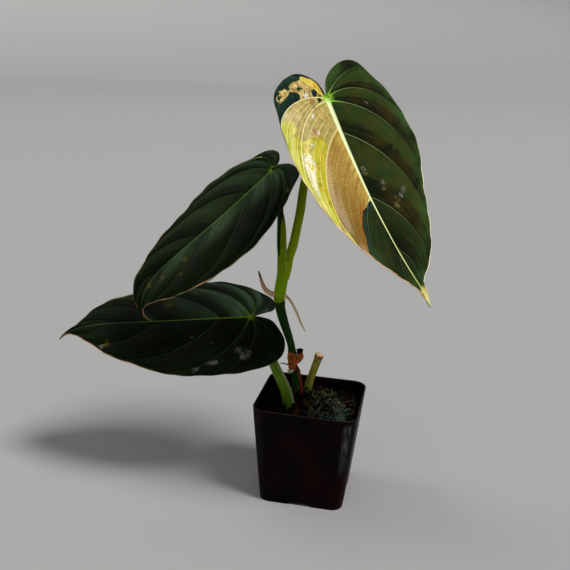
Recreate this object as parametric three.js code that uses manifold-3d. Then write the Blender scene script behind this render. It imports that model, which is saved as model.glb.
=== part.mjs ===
// A young variegated Philodendron melanochrysum in its square nursery pot.
// Millimetres, +Z up, origin at the centre of the pot's foot, front of the pot towards -Y.

import * as THREE from 'three';
import { mergeVertices } from 'three/addons/utils/BufferGeometryUtils.js';
import Module from 'manifold-3d';

const wasm = await Module();
wasm.setup();

// Clearance kept between two pieces that touch
const GAP = 0.3;
const PETIOLE_GAP = 0.45;

// Square pot, tapered, with softened corners, corner feet and drain slots at the middle of each side
const POT = {
  height: 63,
  topHalf: 32,
  footHalf: 26,
  topCorner: 9,
  footCorner: 7,
  wall: 1,
  floor: 1.2,
  notchHalf: 7,
  notchHeight: 2,
  notchDepth: 9,
  slotHalf: 4,
  slotDepth: 4,
};
const CORNER_STEPS = 3;

// Potting mix: level near the walls, mounded round the stems, sunk towards the back right
const SOIL = {
  level: 56.2,
  mound: 5.2,
  moundCentre: [-7, 1],
  moundSpread: 15,
  sink: 2.6,
  sinkCentre: [20, 24],
  sinkSpread: 12,
  lump: 0.9,
  lumpLength: 9,
  lumpSkew: 0.5,
  cells: 20,
};

// Leaf blades
const BLADE = 0.8;
const RIB = 1.8;
const QUILT = 0.9;
const ROWS_PER_VEIN = 4;
const COLUMNS = 7;

// Veins of one half of a blade, from the sinus to the tip: where each leaves the midrib and where
// it meets the margin, as shares of the midrib and of the margin, and its first angle to the midrib
const VEINS = [
  { start: 0, angle: 180, end: 0 },
  { start: 0, angle: 142, end: 0.23 },
  { start: 0, angle: 112, end: 0.43 },
  { start: 0.01, angle: 72, end: 0.63 },
  { start: 0.16, angle: 52, end: 0.8 },
  { start: 0.47, angle: 46, end: 0.89 },
  { start: 0.72, angle: 38, end: 0.945 },
  { start: 1, angle: 0, end: 1 },
];
const VEIN_LEAVE = 0.42;
const VEIN_ARRIVE = 0.33;

// Each leaf: length of the midrib, place of the sinus, and the bends along the midrib in degrees as
// base + slope * u + bow * u^2, with u the share of the midrib. right and left are the margins of the
// two halves seen from above with the tip away, as (along the midrib, out from it)
const LEAVES = {
  leaf_variegated: {
    length: 130,
    sinus: [-1.4, -4, 244.4],
    heading: [-34.7, 4.1, 12.1],
    droop: [55.6, -2.1, -7.5],
    tipCurl: 8,
    roll: 14,
    fold: [-20, 30],
    left: [[0, 0], [-11.5, 4], [-18.5, 14], [-18, 24], [-9, 31.5], [12, 41.5], [39, 45],
      [65, 36], [90, 26.5], [106, 16], [116, 4.5], [123, 2], [130, 0]],
    right: [[0, 0], [-8, 3], [-14, 10], [-14, 22], [-5, 35.5], [12, 39.5], [38, 41.5],
      [69, 37], [92, 27], [107, 16], [114, 9], [120, 4], [130, 0]],
  },
  leaf_middle: {
    length: 124.5,
    sinus: [-29.6, -8, 203.2],
    heading: [200.3, 2.4, 1.6],
    droop: [45.1, -5.1, -5.2],
    tipCurl: 130,
    roll: -28,
    fold: [-6, 30],
    left: [[0, 0], [-8.5, 8], [-9, 19], [2.5, 24.5], [13, 29.5], [38, 34.3], [68, 31.3],
      [90, 24], [103, 14], [112, 4.5], [117, 1.6], [124.5, 0]],
    right: [[0, 0], [-6, 1], [-9.2, 7.5], [-4, 16], [16, 25.5], [38, 31.5], [58, 26],
      [80, 20], [95, 13.5], [107, 9], [113, 4.5], [117, 1.6], [124.5, 0]],
  },
  leaf_lower: {
    length: 123.5,
    sinus: [-39.6, -2, 111],
    heading: [190.2, 0, -2],
    droop: [5.2, 6.7, -11.4],
    tipCurl: 50,
    roll: -32,
    fold: [4, 20],
    left: [[0, 0], [-8, 1.5], [-15, 7], [-20, 19], [-16.5, 29.5], [-1, 36], [17, 38],
      [47, 37], [73, 28.5], [88, 22], [102.5, 11.5], [112, 4], [117, 1.4], [123.5, 0]],
    right: [[0, 0], [-6, 2], [-12.5, 4.5], [-14, 9], [-10.3, 18.5], [10, 33.5], [27, 38.5],
      [50, 36], [77, 27], [90, 23], [99, 17], [106, 8.7], [111, 3.6], [117, 1.4], [123.5, 0]],
  },
};
const TIP_CURL_POWER = 8;
const MIDRIB_STEPS = 240;

// Stems, petioles and roots: stations (x, y, z, radius) from the root end to the free end
const STEM = [
  [-11, 6.5, 38, 2.2], [-10.8, 6, 58, 2.4], [-11.4, 5.2, 68, 2.2], [-12.6, 4.4, 76, 2.2],
  [-13.2, 4, 79, 2.8], [-13.5, 3.8, 82, 3], [-13.9, 3.6, 86, 2.9], [-14.4, 3.3, 90, 2.4],
  [-15.2, 3, 94, 2.3], [-20.2, 1.3, 109, 2.8], [-22.7, 0.4, 118.5, 3.1], [-23.4, 0, 124, 3.5],
];
const UPPER_STEM = [
  [-23.4, 0, 124.3, 3.4], [-23.3, -0.1, 127.5, 3.6], [-22.7, -0.2, 133, 3.6],
  [-21.9, -0.3, 139.1, 3.6], [-21.4, -0.4, 145.1, 4.1], [-21, -0.5, 150, 4.9],
];
const UPPER_STEM_FLAT = 0.8;
const PETIOLE_VARIEGATED = [
  [-18.6, -0.4, 150.3, 2.5], [-16.7, 0, 157.4, 2.7], [-14.7, 0.1, 170.4, 2.6],
  [-13.4, 0.3, 179.5, 2.6], [-12.3, 0.8, 193.1, 2.5], [-9, 1.8, 218, 2.3], [-6.4, 1.9, 236, 2.3],
];
const PETIOLE_MIDDLE = [
  [-23.8, 0.4, 150.3, 1.9], [-24.6, 0.5, 158, 1.9], [-25.1, 0.2, 170, 1.8],
  [-25.6, -0.8, 185, 1.8], [-26.2, -1.8, 194.5, 1.8],
];
const CATAPHYLL = [[-21.6, -3.7, 150.3, 2.1], [-21.9, -3.7, 160, 1.9], [-22.6, -3.5, 170.4, 1.5],
  [-23.1, -3.4, 177.3, 0.5]];
const CATAPHYLL_FLAT = 0.28;
const PETIOLE_LOWER = [
  [-10.5, -11.5, 42, 3], [-11.3, -11.2, 56, 3.5], [-13.8, -10.8, 66.5, 3.6],
  [-17.3, -10, 74, 3.4], [-21.5, -8.9, 81, 3.1], [-27.9, -5.5, 91.8, 2.7], [-34.9, -1.6, 102.3, 2.4],
];
const CUT_PETIOLE = [[-7, 20, 42, 2.4], [-5.2, 20, 59, 2.6], [-3.3, 19.7, 67.9, 2.5],
  [-1.4, 19.3, 75.1, 2.4], [0.9, 19, 83, 2.7]];
const DRIED_STUB = [[-9.4, 3.3, 84.4, 1.4], [-8.9, 3, 86.6, 1.9], [-9.3, 3, 89, 1.8],
  [-9.5, 3, 91.4, 2]];
const AERIAL_ROOT_LEFT = [[-27.6, -1.2, 126.6, 1.6], [-29.4, -2.8, 127.9, 1.5], [-31.8, -4, 130.4, 1.3],
  [-33.9, -5, 135.3, 1], [-35.7, -6, 141.6, 0.35]];
const AERIAL_ROOT_RIGHT = [[-19.2, -0.9, 126, 0.8], [-15.3, -4, 123.7, 0.8], [-11.6, -5.5, 118.3, 0.75],
  [-8.5, -6.5, 112.4, 0.6], [-5.4, -7, 106.9, 0.35]];
const SIDE_ROOT = [[-16.7, 2.4, 80.6, 0.4], [-18.4, 1, 81.6, 0.35], [-20.8, -1, 82.4, 0.3]];
const SOIL_ROOT = [[-9.6, 2.4, 78.4, 0.8], [-8.2, 1.6, 72.6, 0.95], [-6.9, 1, 67.2, 0.95],
  [-6.4, 0.6, 52, 0.8]];

// Torn, dried sheath that hangs round the front of the stem below the woody node
const TORN_SHEATH = {
  centre: [-12.9, 4.2],
  radius: 3.4,
  low: 74.4,
  high: 77.6,
  from: 140,
  to: 285,
  half: 1.1,
  flat: 0.34,
  steps: 5,
  sides: 8,
};

const STEM_SIDES = 12;
const CATAPHYLL_SIDES = 10;
const STUB_SIDES = 9;
const ROOT_SIDES = 7;
const STEPS_PER_STATION = 3;

// Colours, roughness and metalness
const FINISH = {
  pot: [0x15120f, 0.35, 0],
  soil: [0x2b2118, 1, 0],
  darkBlade: [0x12200f, 0.55, 0],
  variegatedBlade: [0x8a8a2c, 0.5, 0],
  darkStem: [0x1d4a1a, 0.5, 0],
  paleStem: [0x6d8c1c, 0.5, 0],
  paleBase: [0x5f9a33, 0.5, 0],
  bark: [0x7a4a2c, 0.9, 0],
  dried: [0xd8c9a0, 0.9, 0],
};

const UP = new THREE.Vector3(0, 0, 1);
const radians = THREE.MathUtils.degToRad;

// Closed geometry from points and triangles, with points that coincide joined
function geometryFrom(points, triangles) {
  const loose = new THREE.BufferGeometry();
  loose.setAttribute('position', new THREE.Float32BufferAttribute(points.flatMap((p) => [p.x, p.y, p.z]), 3));
  loose.setIndex(triangles.flat());
  const merged = mergeVertices(loose, 1e-3);
  const index = Array.from(merged.index.array);
  const kept = [];
  for (let i = 0; i < index.length; i += 3) {
    const [a, b, c] = index.slice(i, i + 3);
    if (a !== b && b !== c && c !== a) kept.push(a, b, c);
  }
  merged.setIndex(kept);
  return merged;
}

// Solid through a row of rings, each counterclockwise seen from the far end, closed at both ends
function loft(rings) {
  const count = rings[0].length;
  const points = rings.flat();
  const triangles = [];
  for (let i = 0; i + 1 < rings.length; i += 1) {
    for (let j = 0; j < count; j += 1) {
      const a = i * count + j;
      const b = i * count + ((j + 1) % count);
      triangles.push([a, b, b + count], [a, b + count, a + count]);
    }
  }
  const last = (rings.length - 1) * count;
  for (let j = 1; j + 1 < count; j += 1) {
    triangles.push([0, j + 1, j], [last, last + j, last + j + 1]);
  }
  return geometryFrom(points, triangles);
}

// Tapered tube through stations (x, y, z, radius). from and to square its ends to a direction,
// and flat thins the section across the direction broad
function stalk(stations, { sides = STEM_SIDES, from = null, to = null, flat = 1, broad = null } = {}) {
  const path = new THREE.CatmullRomCurve3(stations.map(([x, y, z]) => new THREE.Vector3(x, y, z)));
  const steps = (stations.length - 1) * STEPS_PER_STATION;
  const rings = [];
  const across = broad ? broad.clone() : new THREE.Vector3(1, 0, 0);
  for (let i = 0; i <= steps; i += 1) {
    const share = i / steps;
    const along = path.getTangent(share);
    if (i === 0 && from) along.copy(from);
    if (i === steps && to) along.copy(to);
    across.addScaledVector(along, -across.dot(along)).normalize();
    const side = new THREE.Vector3().crossVectors(along, across);
    const place = share * (stations.length - 1);
    const before = Math.min(Math.floor(place), stations.length - 2);
    const radius = THREE.MathUtils.lerp(stations[before][3], stations[before + 1][3], place - before);
    const centre = path.getPoint(share);
    const ring = [];
    for (let j = 0; j < sides; j += 1) {
      const turn = (2 * Math.PI * j) / sides;
      ring.push(centre.clone()
        .addScaledVector(across, radius * Math.cos(turn))
        .addScaledVector(side, radius * flat * Math.sin(turn)));
    }
    rings.push(ring);
  }
  return loft(rings);
}

// Square ring with rounded corners at one height
function squareRing(half, corner, z) {
  const ring = [];
  for (let quarter = 0; quarter < 4; quarter += 1) {
    for (let step = 0; step <= CORNER_STEPS; step += 1) {
      const turn = (Math.PI / 2) * (quarter + step / CORNER_STEPS);
      const middle = radians(45 + 90 * quarter);
      const reach = (half - corner) * Math.SQRT2;
      ring.push(new THREE.Vector3(
        reach * Math.cos(middle) + corner * Math.cos(turn),
        reach * Math.sin(middle) + corner * Math.sin(turn),
        z,
      ));
    }
  }
  return ring;
}

// Tapered square solid whose faces lie inset inside the pot's outer faces, between two heights
function potCore(inset, low, high) {
  const rings = [low, high].map((z) => {
    const half = THREE.MathUtils.lerp(POT.footHalf, POT.topHalf, z / POT.height);
    const corner = THREE.MathUtils.lerp(POT.footCorner, POT.topCorner, z / POT.height);
    return squareRing(half - inset, corner - inset, z);
  });
  return loft(rings);
}

function box(sizeX, sizeY, sizeZ, x, y, z) {
  return new THREE.BoxGeometry(sizeX, sizeY, sizeZ).translate(x, y, z);
}

// Manifold solid of a closed three.js geometry
function solidOf(geometry) {
  const bare = geometry.clone();
  bare.deleteAttribute('normal');
  bare.deleteAttribute('uv');
  const joined = mergeVertices(bare, 1e-4);
  return new wasm.Manifold(new wasm.Mesh({
    numProp: 3,
    vertProperties: new Float32Array(joined.attributes.position.array),
    triVerts: new Uint32Array(joined.index.array),
  }));
}

function geometryOf(solid) {
  const mesh = solid.getMesh();
  const geometry = new THREE.BufferGeometry();
  const stride = mesh.numProp;
  const positions = [];
  for (let i = 0; i < mesh.vertProperties.length; i += stride) {
    positions.push(mesh.vertProperties[i], mesh.vertProperties[i + 1], mesh.vertProperties[i + 2]);
  }
  geometry.setAttribute('position', new THREE.Float32BufferAttribute(positions, 3));
  geometry.setIndex(Array.from(mesh.triVerts));
  return geometry;
}

// One box per side of the pot, given for the side that faces -Y
function onEachSide(make) {
  return [0, 1, 2, 3].map((turns) => make().rotateZ((turns * Math.PI) / 2));
}

// Raised channels over the drain notches, which stand inside the pot
function channels(clearance) {
  const width = 2 * (POT.notchHalf + POT.wall + clearance);
  const height = POT.notchHeight + POT.floor + clearance;
  const depth = POT.notchDepth + POT.wall + clearance;
  return onEachSide(() => box(width, depth, height, 0, -POT.footHalf + depth / 2, height / 2));
}

function pot() {
  let cavity = solidOf(potCore(POT.wall, POT.floor, POT.height + 1));
  channels(0).forEach((channel) => {
    cavity = cavity.subtract(solidOf(channel));
  });
  let body = solidOf(potCore(0, 0, POT.height)).subtract(cavity);
  const notches = onEachSide(() => box(2 * POT.notchHalf, 2 * POT.notchDepth, 2 * POT.notchHeight,
    0, -POT.footHalf, 0));
  const slots = onEachSide(() => box(2 * POT.slotHalf, POT.slotDepth, 4 * POT.notchHeight,
    0, -POT.footHalf + POT.notchDepth - POT.slotDepth / 2 - POT.wall, POT.notchHeight));
  [...notches, ...slots].forEach((cut) => {
    body = body.subtract(solidOf(cut));
  });
  return geometryOf(body);
}

function soilHeight(x, y) {
  const swell = ([cx, cy], spread) => Math.exp(-((x - cx) ** 2 + (y - cy) ** 2) / (2 * spread ** 2));
  const wave = (2 * Math.PI) / SOIL.lumpLength;
  const lumps = Math.sin(wave * (x + SOIL.lumpSkew * y)) * Math.cos(wave * (y - SOIL.lumpSkew * x));
  return SOIL.level + SOIL.mound * swell(SOIL.moundCentre, SOIL.moundSpread)
    - SOIL.sink * swell(SOIL.sinkCentre, SOIL.sinkSpread) + SOIL.lump * lumps;
}

// Block under the lumpy surface of the potting mix, wider than the pot
function soilBlock() {
  const half = POT.topHalf + 1;
  const block = new THREE.BoxGeometry(2 * half, 2 * half, 1, SOIL.cells, SOIL.cells, 1);
  const place = block.attributes.position;
  for (let i = 0; i < place.count; i += 1) {
    const top = place.getZ(i) > 0;
    place.setZ(i, top ? soilHeight(place.getX(i), place.getY(i)) : 0);
  }
  return block;
}

// What stands in the potting mix, with its plain hole a little wider all round
const ROOTED = [STEM, PETIOLE_LOWER, CUT_PETIOLE, SOIL_ROOT];

function hole(stations) {
  const wider = stations.map(([x, y, z, radius]) => [x, y, z, radius + GAP]);
  wider[0][2] -= GAP;
  return stalk(wider);
}

function soil() {
  let body = solidOf(potCore(POT.wall + GAP, POT.floor + GAP, POT.height + 5));
  body = body.intersect(solidOf(soilBlock()));
  channels(GAP).forEach((channel) => {
    body = body.subtract(solidOf(channel));
  });
  ROOTED.forEach((stations) => {
    body = body.subtract(solidOf(hole(stations)));
  });
  return geometryOf(body);
}

// Direction of the midrib, and the directions across and out of the blade, at a share u of its length
function bladeFrame(leaf, u) {
  const bend = ([base, slope, bow]) => base + slope * u + bow * u * u;
  const heading = radians(bend(leaf.heading));
  const droop = radians(bend(leaf.droop) + leaf.tipCurl * u ** TIP_CURL_POWER);
  const roll = radians(leaf.roll);
  const forward = new THREE.Vector3(Math.cos(droop) * Math.cos(heading),
    Math.cos(droop) * Math.sin(heading), -Math.sin(droop));
  const across = new THREE.Vector3(-Math.sin(heading), Math.cos(heading), 0).applyAxisAngle(forward, roll);
  const out = new THREE.Vector3().crossVectors(forward, across);
  return { forward, across, out };
}

// Midrib as a row of points, found by summing short steps along its direction
function midrib(leaf) {
  const step = leaf.length / MIDRIB_STEPS;
  const row = [new THREE.Vector3(...leaf.sinus)];
  for (let i = 0; i < MIDRIB_STEPS; i += 1) {
    const { forward } = bladeFrame(leaf, (i + 0.5) / MIDRIB_STEPS);
    row.push(row[i].clone().addScaledVector(forward, step));
  }
  return row;
}

// Point of the blade at s along the midrib and d out from it, on side +1 (left) or -1 (right)
function bladePoint(leaf, row, s, d, side, lift) {
  const u = Math.max(s / leaf.length, 0);
  const frame = bladeFrame(leaf, u);
  const place = Math.min(u * MIDRIB_STEPS, MIDRIB_STEPS - 1e-6);
  const before = Math.floor(place);
  const point = row[before].clone().lerp(row[before + 1], place - before);
  if (s < 0) point.addScaledVector(frame.forward, s);
  const fold = radians(leaf.fold[0] + (leaf.fold[1] * d) / 100);
  return point
    .addScaledVector(frame.across, side * d * Math.cos(fold))
    .addScaledVector(frame.out, lift - d * Math.sin(fold));
}

function veinAt(phase) {
  const before = Math.min(Math.floor(phase), VEINS.length - 2);
  const share = phase - before;
  const between = (key) => THREE.MathUtils.lerp(VEINS[before][key], VEINS[before + 1][key], share);
  return { start: between('start'), angle: radians(between('angle')), end: between('end') };
}

// Path of a vein, or of a line between two veins, from the midrib to the margin
function veinPath(leaf, margin, phase) {
  const vein = veinAt(phase);
  const start = new THREE.Vector2(vein.start * leaf.length, 0);
  const end = margin.getPointAt(vein.end);
  const chord = start.distanceTo(end);
  const leave = new THREE.Vector2(Math.cos(vein.angle), Math.sin(vein.angle))
    .multiplyScalar(VEIN_LEAVE * chord).add(start);
  const arrive = margin.getTangentAt(vein.end).multiplyScalar(-VEIN_ARRIVE * chord).add(end);
  return new THREE.CubicBezierCurve(start, leave, arrive, end);
}

// Height of the blade's quilting: zero on the veins and the midrib, highest between them
function quilt(phase, t) {
  return QUILT * Math.abs(Math.sin(Math.PI * phase)) * Math.sin(Math.PI * t ** 0.8);
}

// Blade as one closed body: the upper face on a grid of veins, the lower face at the blade's thickness
// under it, thicker along the midrib, and a rim round the margin
function blade(leaf) {
  const row = midrib(leaf);
  const rows = (VEINS.length - 1) * ROWS_PER_VEIN;
  const points = [];
  const depths = [];
  const triangles = [];
  [1, -1].forEach((side) => {
    const outline = side > 0 ? leaf.left : leaf.right;
    const margin = new THREE.SplineCurve(outline.map(([s, d]) => new THREE.Vector2(s, d)));
    const first = points.length;
    for (let i = 0; i <= rows; i += 1) {
      const phase = i / ROWS_PER_VEIN;
      const path = veinPath(leaf, margin, phase);
      for (let j = 0; j <= COLUMNS; j += 1) {
        const t = j / COLUMNS;
        const { x: s, y: d } = path.getPoint(t);
        points.push(bladePoint(leaf, row, s, d, side, quilt(phase, t)));
        const left = THREE.MathUtils.clamp(1 - s / leaf.length, 0, 1);
        depths.push(j === 0 ? BLADE + RIB * left : BLADE);
        if (i > 0 && j > 0) {
          const here = first + i * (COLUMNS + 1) + j;
          const back = here - COLUMNS - 1;
          const corners = [[back - 1, here - 1, here], [back - 1, here, back]];
          triangles.push(...corners.map(([a, b, c]) => (side > 0 ? [a, b, c] : [a, c, b])));
        }
      }
    }
  });
  return thicken(points, triangles, depths);
}

// Closed body under an open sheet: each point is repeated below it, and the free edge gets a rim
function thicken(points, triangles, depths) {
  const sheet = geometryFrom(points, triangles);
  sheet.computeVertexNormals();
  const place = sheet.attributes.position;
  const normal = sheet.attributes.normal;
  const upper = [];
  const lower = [];
  for (let i = 0; i < place.count; i += 1) {
    const point = new THREE.Vector3().fromBufferAttribute(place, i);
    const same = points.findIndex((other) => other.distanceToSquared(point) < 1e-5);
    upper.push(point);
    lower.push(new THREE.Vector3().fromBufferAttribute(normal, i).multiplyScalar(-depths[same]).add(point));
  }
  const count = upper.length;
  const faces = [];
  const edges = new Set();
  const index = sheet.index.array;
  for (let i = 0; i < index.length; i += 3) {
    const [a, b, c] = index.slice(i, i + 3);
    faces.push([a, b, c], [a + count, c + count, b + count]);
    [[a, b], [b, c], [c, a]].forEach(([p, q]) => edges.add(`${p},${q}`));
  }
  edges.forEach((edge) => {
    const [p, q] = edge.split(',').map(Number);
    if (!edges.has(`${q},${p}`)) faces.push([q, p, p + count], [q, p + count, q + count]);
  });
  return geometryFrom([...upper, ...lower], faces);
}

// Petiole carried on from its last station to the underside of its leaf, which it meets squarely.
// from squares its lower end
function petiole(stations, leaf, from = null) {
  const { out } = bladeFrame(leaf, 0);
  const reach = BLADE + RIB + PETIOLE_GAP;
  const seat = new THREE.Vector3(...leaf.sinus).addScaledVector(out, -reach);
  const radius = stations[stations.length - 1][3];
  return stalk([...stations, [seat.x, seat.y, seat.z, radius]], { from, to: out });
}

// Strip round the front of the stem, from one turn to another, climbing as it goes
function tornSheath() {
  const { centre, radius, low, high, from, to, half, flat, steps, sides } = TORN_SHEATH;
  const stations = [];
  for (let i = 0; i <= steps; i += 1) {
    const turn = radians(THREE.MathUtils.lerp(from, to, i / steps));
    stations.push([centre[0] + radius * Math.cos(turn), centre[1] + radius * Math.sin(turn),
      THREE.MathUtils.lerp(low, high, i / steps), i % steps === 0 ? half / 2 : half]);
  }
  return stalk(stations, { sides, flat, broad: UP });
}

const plant = new THREE.Group();
plant.name = 'potted_philodendron';

function add(name, geometry, finish) {
  const [color, roughness, metalness] = FINISH[finish];
  const mesh = new THREE.Mesh(geometry, new THREE.MeshStandardMaterial({ color, roughness, metalness }));
  mesh.name = name;
  plant.add(mesh);
}

const rootOptions = { sides: ROOT_SIDES };

add('pot', pot(), 'pot');
add('soil', soil(), 'soil');
add('stem', stalk(STEM, { to: UP }), 'darkStem');
add('upper_stem', stalk(UPPER_STEM, { from: UP, to: UP, flat: UPPER_STEM_FLAT }), 'paleStem');
add('petiole_variegated', petiole(PETIOLE_VARIEGATED, LEAVES.leaf_variegated, UP), 'paleStem');
add('petiole_middle', petiole(PETIOLE_MIDDLE, LEAVES.leaf_middle, UP), 'darkStem');
add('petiole_lower', petiole(PETIOLE_LOWER, LEAVES.leaf_lower), 'paleBase');
add('cataphyll', stalk(CATAPHYLL, { from: UP, sides: CATAPHYLL_SIDES, flat: CATAPHYLL_FLAT }), 'paleStem');
add('leaf_variegated', blade(LEAVES.leaf_variegated), 'variegatedBlade');
add('leaf_middle', blade(LEAVES.leaf_middle), 'darkBlade');
add('leaf_lower', blade(LEAVES.leaf_lower), 'darkBlade');
add('cut_petiole', stalk(CUT_PETIOLE), 'paleStem');
add('dried_stub', stalk(DRIED_STUB, { sides: STUB_SIDES }), 'bark');
add('aerial_root_left', stalk(AERIAL_ROOT_LEFT, rootOptions), 'bark');
add('aerial_root_right', stalk(AERIAL_ROOT_RIGHT, rootOptions), 'bark');
add('side_root', stalk(SIDE_ROOT, rootOptions), 'bark');
add('soil_root', stalk(SOIL_ROOT, rootOptions), 'bark');
add('torn_sheath', tornSheath(), 'dried');

export default plant;
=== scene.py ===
"""Looks of a young variegated Philodendron melanochrysum in its square nursery pot.

Sizes are millimetres until a mesh is made. +Z is up, the origin is the centre of the pot's foot and
the front of the pot faces -Y.
"""

import logging
import math
from collections.abc import Sequence
from dataclasses import dataclass, field, replace
from enum import Enum
from functools import cached_property

import bmesh
import bpy
import numpy as np
from mathutils import Matrix, Vector


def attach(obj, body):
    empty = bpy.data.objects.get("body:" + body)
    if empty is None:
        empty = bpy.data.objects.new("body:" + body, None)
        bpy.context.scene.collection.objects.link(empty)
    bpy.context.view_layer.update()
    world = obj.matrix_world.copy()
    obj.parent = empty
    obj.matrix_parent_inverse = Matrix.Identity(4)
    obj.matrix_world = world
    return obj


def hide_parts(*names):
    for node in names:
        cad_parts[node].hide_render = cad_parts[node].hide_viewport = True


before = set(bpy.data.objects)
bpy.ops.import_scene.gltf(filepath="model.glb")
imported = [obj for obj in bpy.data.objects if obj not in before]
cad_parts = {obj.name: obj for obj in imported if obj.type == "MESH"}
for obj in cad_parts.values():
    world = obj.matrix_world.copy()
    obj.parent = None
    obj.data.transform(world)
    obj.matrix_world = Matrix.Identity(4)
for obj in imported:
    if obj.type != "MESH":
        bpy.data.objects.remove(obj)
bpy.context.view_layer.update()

MM = 0.001
log = logging.getLogger("plant")

Tone = tuple[float, float, float, float]
Place = tuple[float, float, float]
Outline = tuple[tuple[float, float], ...]


def tone(red: float, green: float, blue: float) -> Tone:
    """Linear colour of a display colour, each channel as (c / 255) to the power 2.2."""
    return (*((channel / 255) ** 2.2 for channel in (red, green, blue)), 1.0)


class Field:
    """Numbers or colours over a surface: a shader socket that arithmetic signs work on."""

    def __init__(self, finish: "Finish", socket: bpy.types.NodeSocket) -> None:
        """Keeps the socket with its finish."""
        self.finish = finish
        self.socket = socket

    def __add__(self, other: "Value") -> "Field":
        """Sum."""
        return self.finish.math("ADD", self, other)

    def __sub__(self, other: "Value") -> "Field":
        """Difference."""
        return self.finish.math("SUBTRACT", self, other)

    def __rsub__(self, other: float) -> "Field":
        """Difference from a number."""
        return self.finish.math("SUBTRACT", other, self)

    def __mul__(self, other: "Value") -> "Field":
        """Product."""
        return self.finish.math("MULTIPLY", self, other)

    def __truediv__(self, other: "Value") -> "Field":
        """Quotient."""
        return self.finish.math("DIVIDE", self, other)

    def rise(self, low: "Value", high: "Value", start: float = 0.0, end: float = 1.0) -> "Field":
        """Smooth step from start to end as the field goes from low to high, flat outside."""
        inputs = {"Value": self, "From Min": low, "From Max": high, "To Min": start, "To Max": end}
        return self.finish.node("MapRange", "Result", inputs, interpolation_type="SMOOTHSTEP")


Value = Field | float | Tone


class Finish:
    """A material whose nodes are made by short calls, each of which returns a field."""

    def __init__(self, name: str) -> None:
        """Makes the material with a bare surface shader.

        Args:
            name: Name of the material.
        """
        self.material = bpy.data.materials.new(name)
        self.material.use_nodes = True
        self.tree = self.material.node_tree
        self.surface = self.tree.nodes["Principled BSDF"]

    def feed(self, socket: bpy.types.NodeSocket, value: Value) -> None:
        """Links a socket to a field, or sets a plain value on it.

        Args:
            socket: Input of a node.
            value: Field, number or colour.
        """
        if isinstance(value, Field):
            self.tree.links.new(value.socket, socket)
        else:
            socket.default_value = value

    def node(self, kind: str, output: str | int, inputs: dict[str | int, Value], **settings: str) -> Field:
        """Adds a node, feeds its inputs and returns one of its outputs.

        Args:
            kind: Kind of the shader node.
            output: Name or number of the output.
            inputs: Values by the name or number of the input.
            settings: Settings of the node.

        Returns:
            Field of that output.
        """
        node = self.tree.nodes.new("ShaderNode" + kind)
        for name, value in settings.items():
            setattr(node, name, value)
        for key, value in inputs.items():
            self.feed(node.inputs[key], value)
        return Field(self, node.outputs[output])

    def math(self, operation: str, a: Value, b: Value = 0.0) -> Field:
        """One step of arithmetic."""
        return self.node("Math", 0, {0: a, 1: b}, operation=operation)

    def value(self, name: str) -> Field:
        """Number that the mesh keeps at each point under this name."""
        return self.node("Attribute", "Fac", {}, attribute_name=name)

    def vector(self, name: str) -> Field:
        """Vector that the mesh keeps at each point under this name."""
        return self.node("Attribute", "Vector", {}, attribute_name=name)

    def part(self, vector: Field, axis: str) -> Field:
        """One part of a vector in metres, named X, Y or Z, in millimetres."""
        return self.node("SeparateXYZ", axis, {0: vector}) / MM

    @cached_property
    def place(self) -> Field:
        """Place of a point in the plant's own frame, in metres."""
        return self.node("TexCoord", "Object", {})

    @cached_property
    def height(self) -> Field:
        """Height of a point over the foot of the pot, in millimetres."""
        return self.part(self.place, "Z")

    def noise(self, vector: Field, size: float, detail: float = 2.0, roughness: float = 0.5) -> Field:
        """Soft noise, 0 to 1 round a half, whose lumps are size millimetres apart."""
        inputs = {"Vector": vector, "Scale": 1 / (size * MM), "Detail": detail, "Roughness": roughness}
        return self.node("TexNoise", "Fac", inputs)

    def cells(self, vector: Field, size: float) -> Field:
        """Distance to the nearest of scattered points that are size apart, in cells."""
        return self.node("TexVoronoi", "Distance", {"Vector": vector, "Scale": 1 / (size * MM)})

    def paint(self, base: Value, *coats: tuple[Value, Value]) -> Value:
        """Colour of a base under coats, each given as its cover, 0 to 1, and its colour.

        Args:
            base: Colour under the coats.
            coats: Covers and colours, the undermost first.

        Returns:
            The painted colour.
        """
        for cover, colour in coats:
            base = self.node("Mix", 2, {0: cover, 6: base, 7: colour}, data_type="RGBA")
        return base

    def bump(self, height: Field, depth: float, strength: float) -> Field:
        """Normal of a surface that height lifts by up to depth millimetres."""
        return self.node("Bump", "Normal", {"Strength": strength, "Distance": depth * MM, "Height": height})

    def dress(self, **inputs: Value) -> bpy.types.Material:
        """Feeds the surface shader's inputs, named with _ for a space, and returns the material.

        Args:
            inputs: Values by the input's name.

        Returns:
            The finished material.
        """
        for name, value in inputs.items():
            self.feed(self.surface.inputs[name.replace("_", " ")], value)
        return self.material


@dataclass
class Shell:
    """Points and triangles of closed surfaces, with numbers at each point that a finish reads."""

    points: np.ndarray
    triangles: np.ndarray
    values: dict[str, np.ndarray] = field(default_factory=dict)


def unit(vectors: np.ndarray) -> np.ndarray:
    """Vectors along the last axis, each brought to length one."""
    return vectors / np.maximum(np.linalg.norm(vectors, axis=-1, keepdims=True), 1e-9)


def smooth_step(values: np.ndarray, low: float, high: float) -> np.ndarray:
    """3 x^2 - 2 x^3, with x the share of the way from low to high, held between 0 and 1."""
    share = np.clip((values - low) / (high - low), 0, 1)
    return share * share * (3 - 2 * share)


def step_at(values: np.ndarray, edge: float, soft: float) -> np.ndarray:
    """Smooth step from zero to one, soft to either side of an edge."""
    return smooth_step(values, edge - soft, edge + soft)


def bell(distance: np.ndarray, width: float) -> np.ndarray:
    """exp(-(distance / width)^2)."""
    return np.exp(-((distance / width) ** 2))


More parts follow.
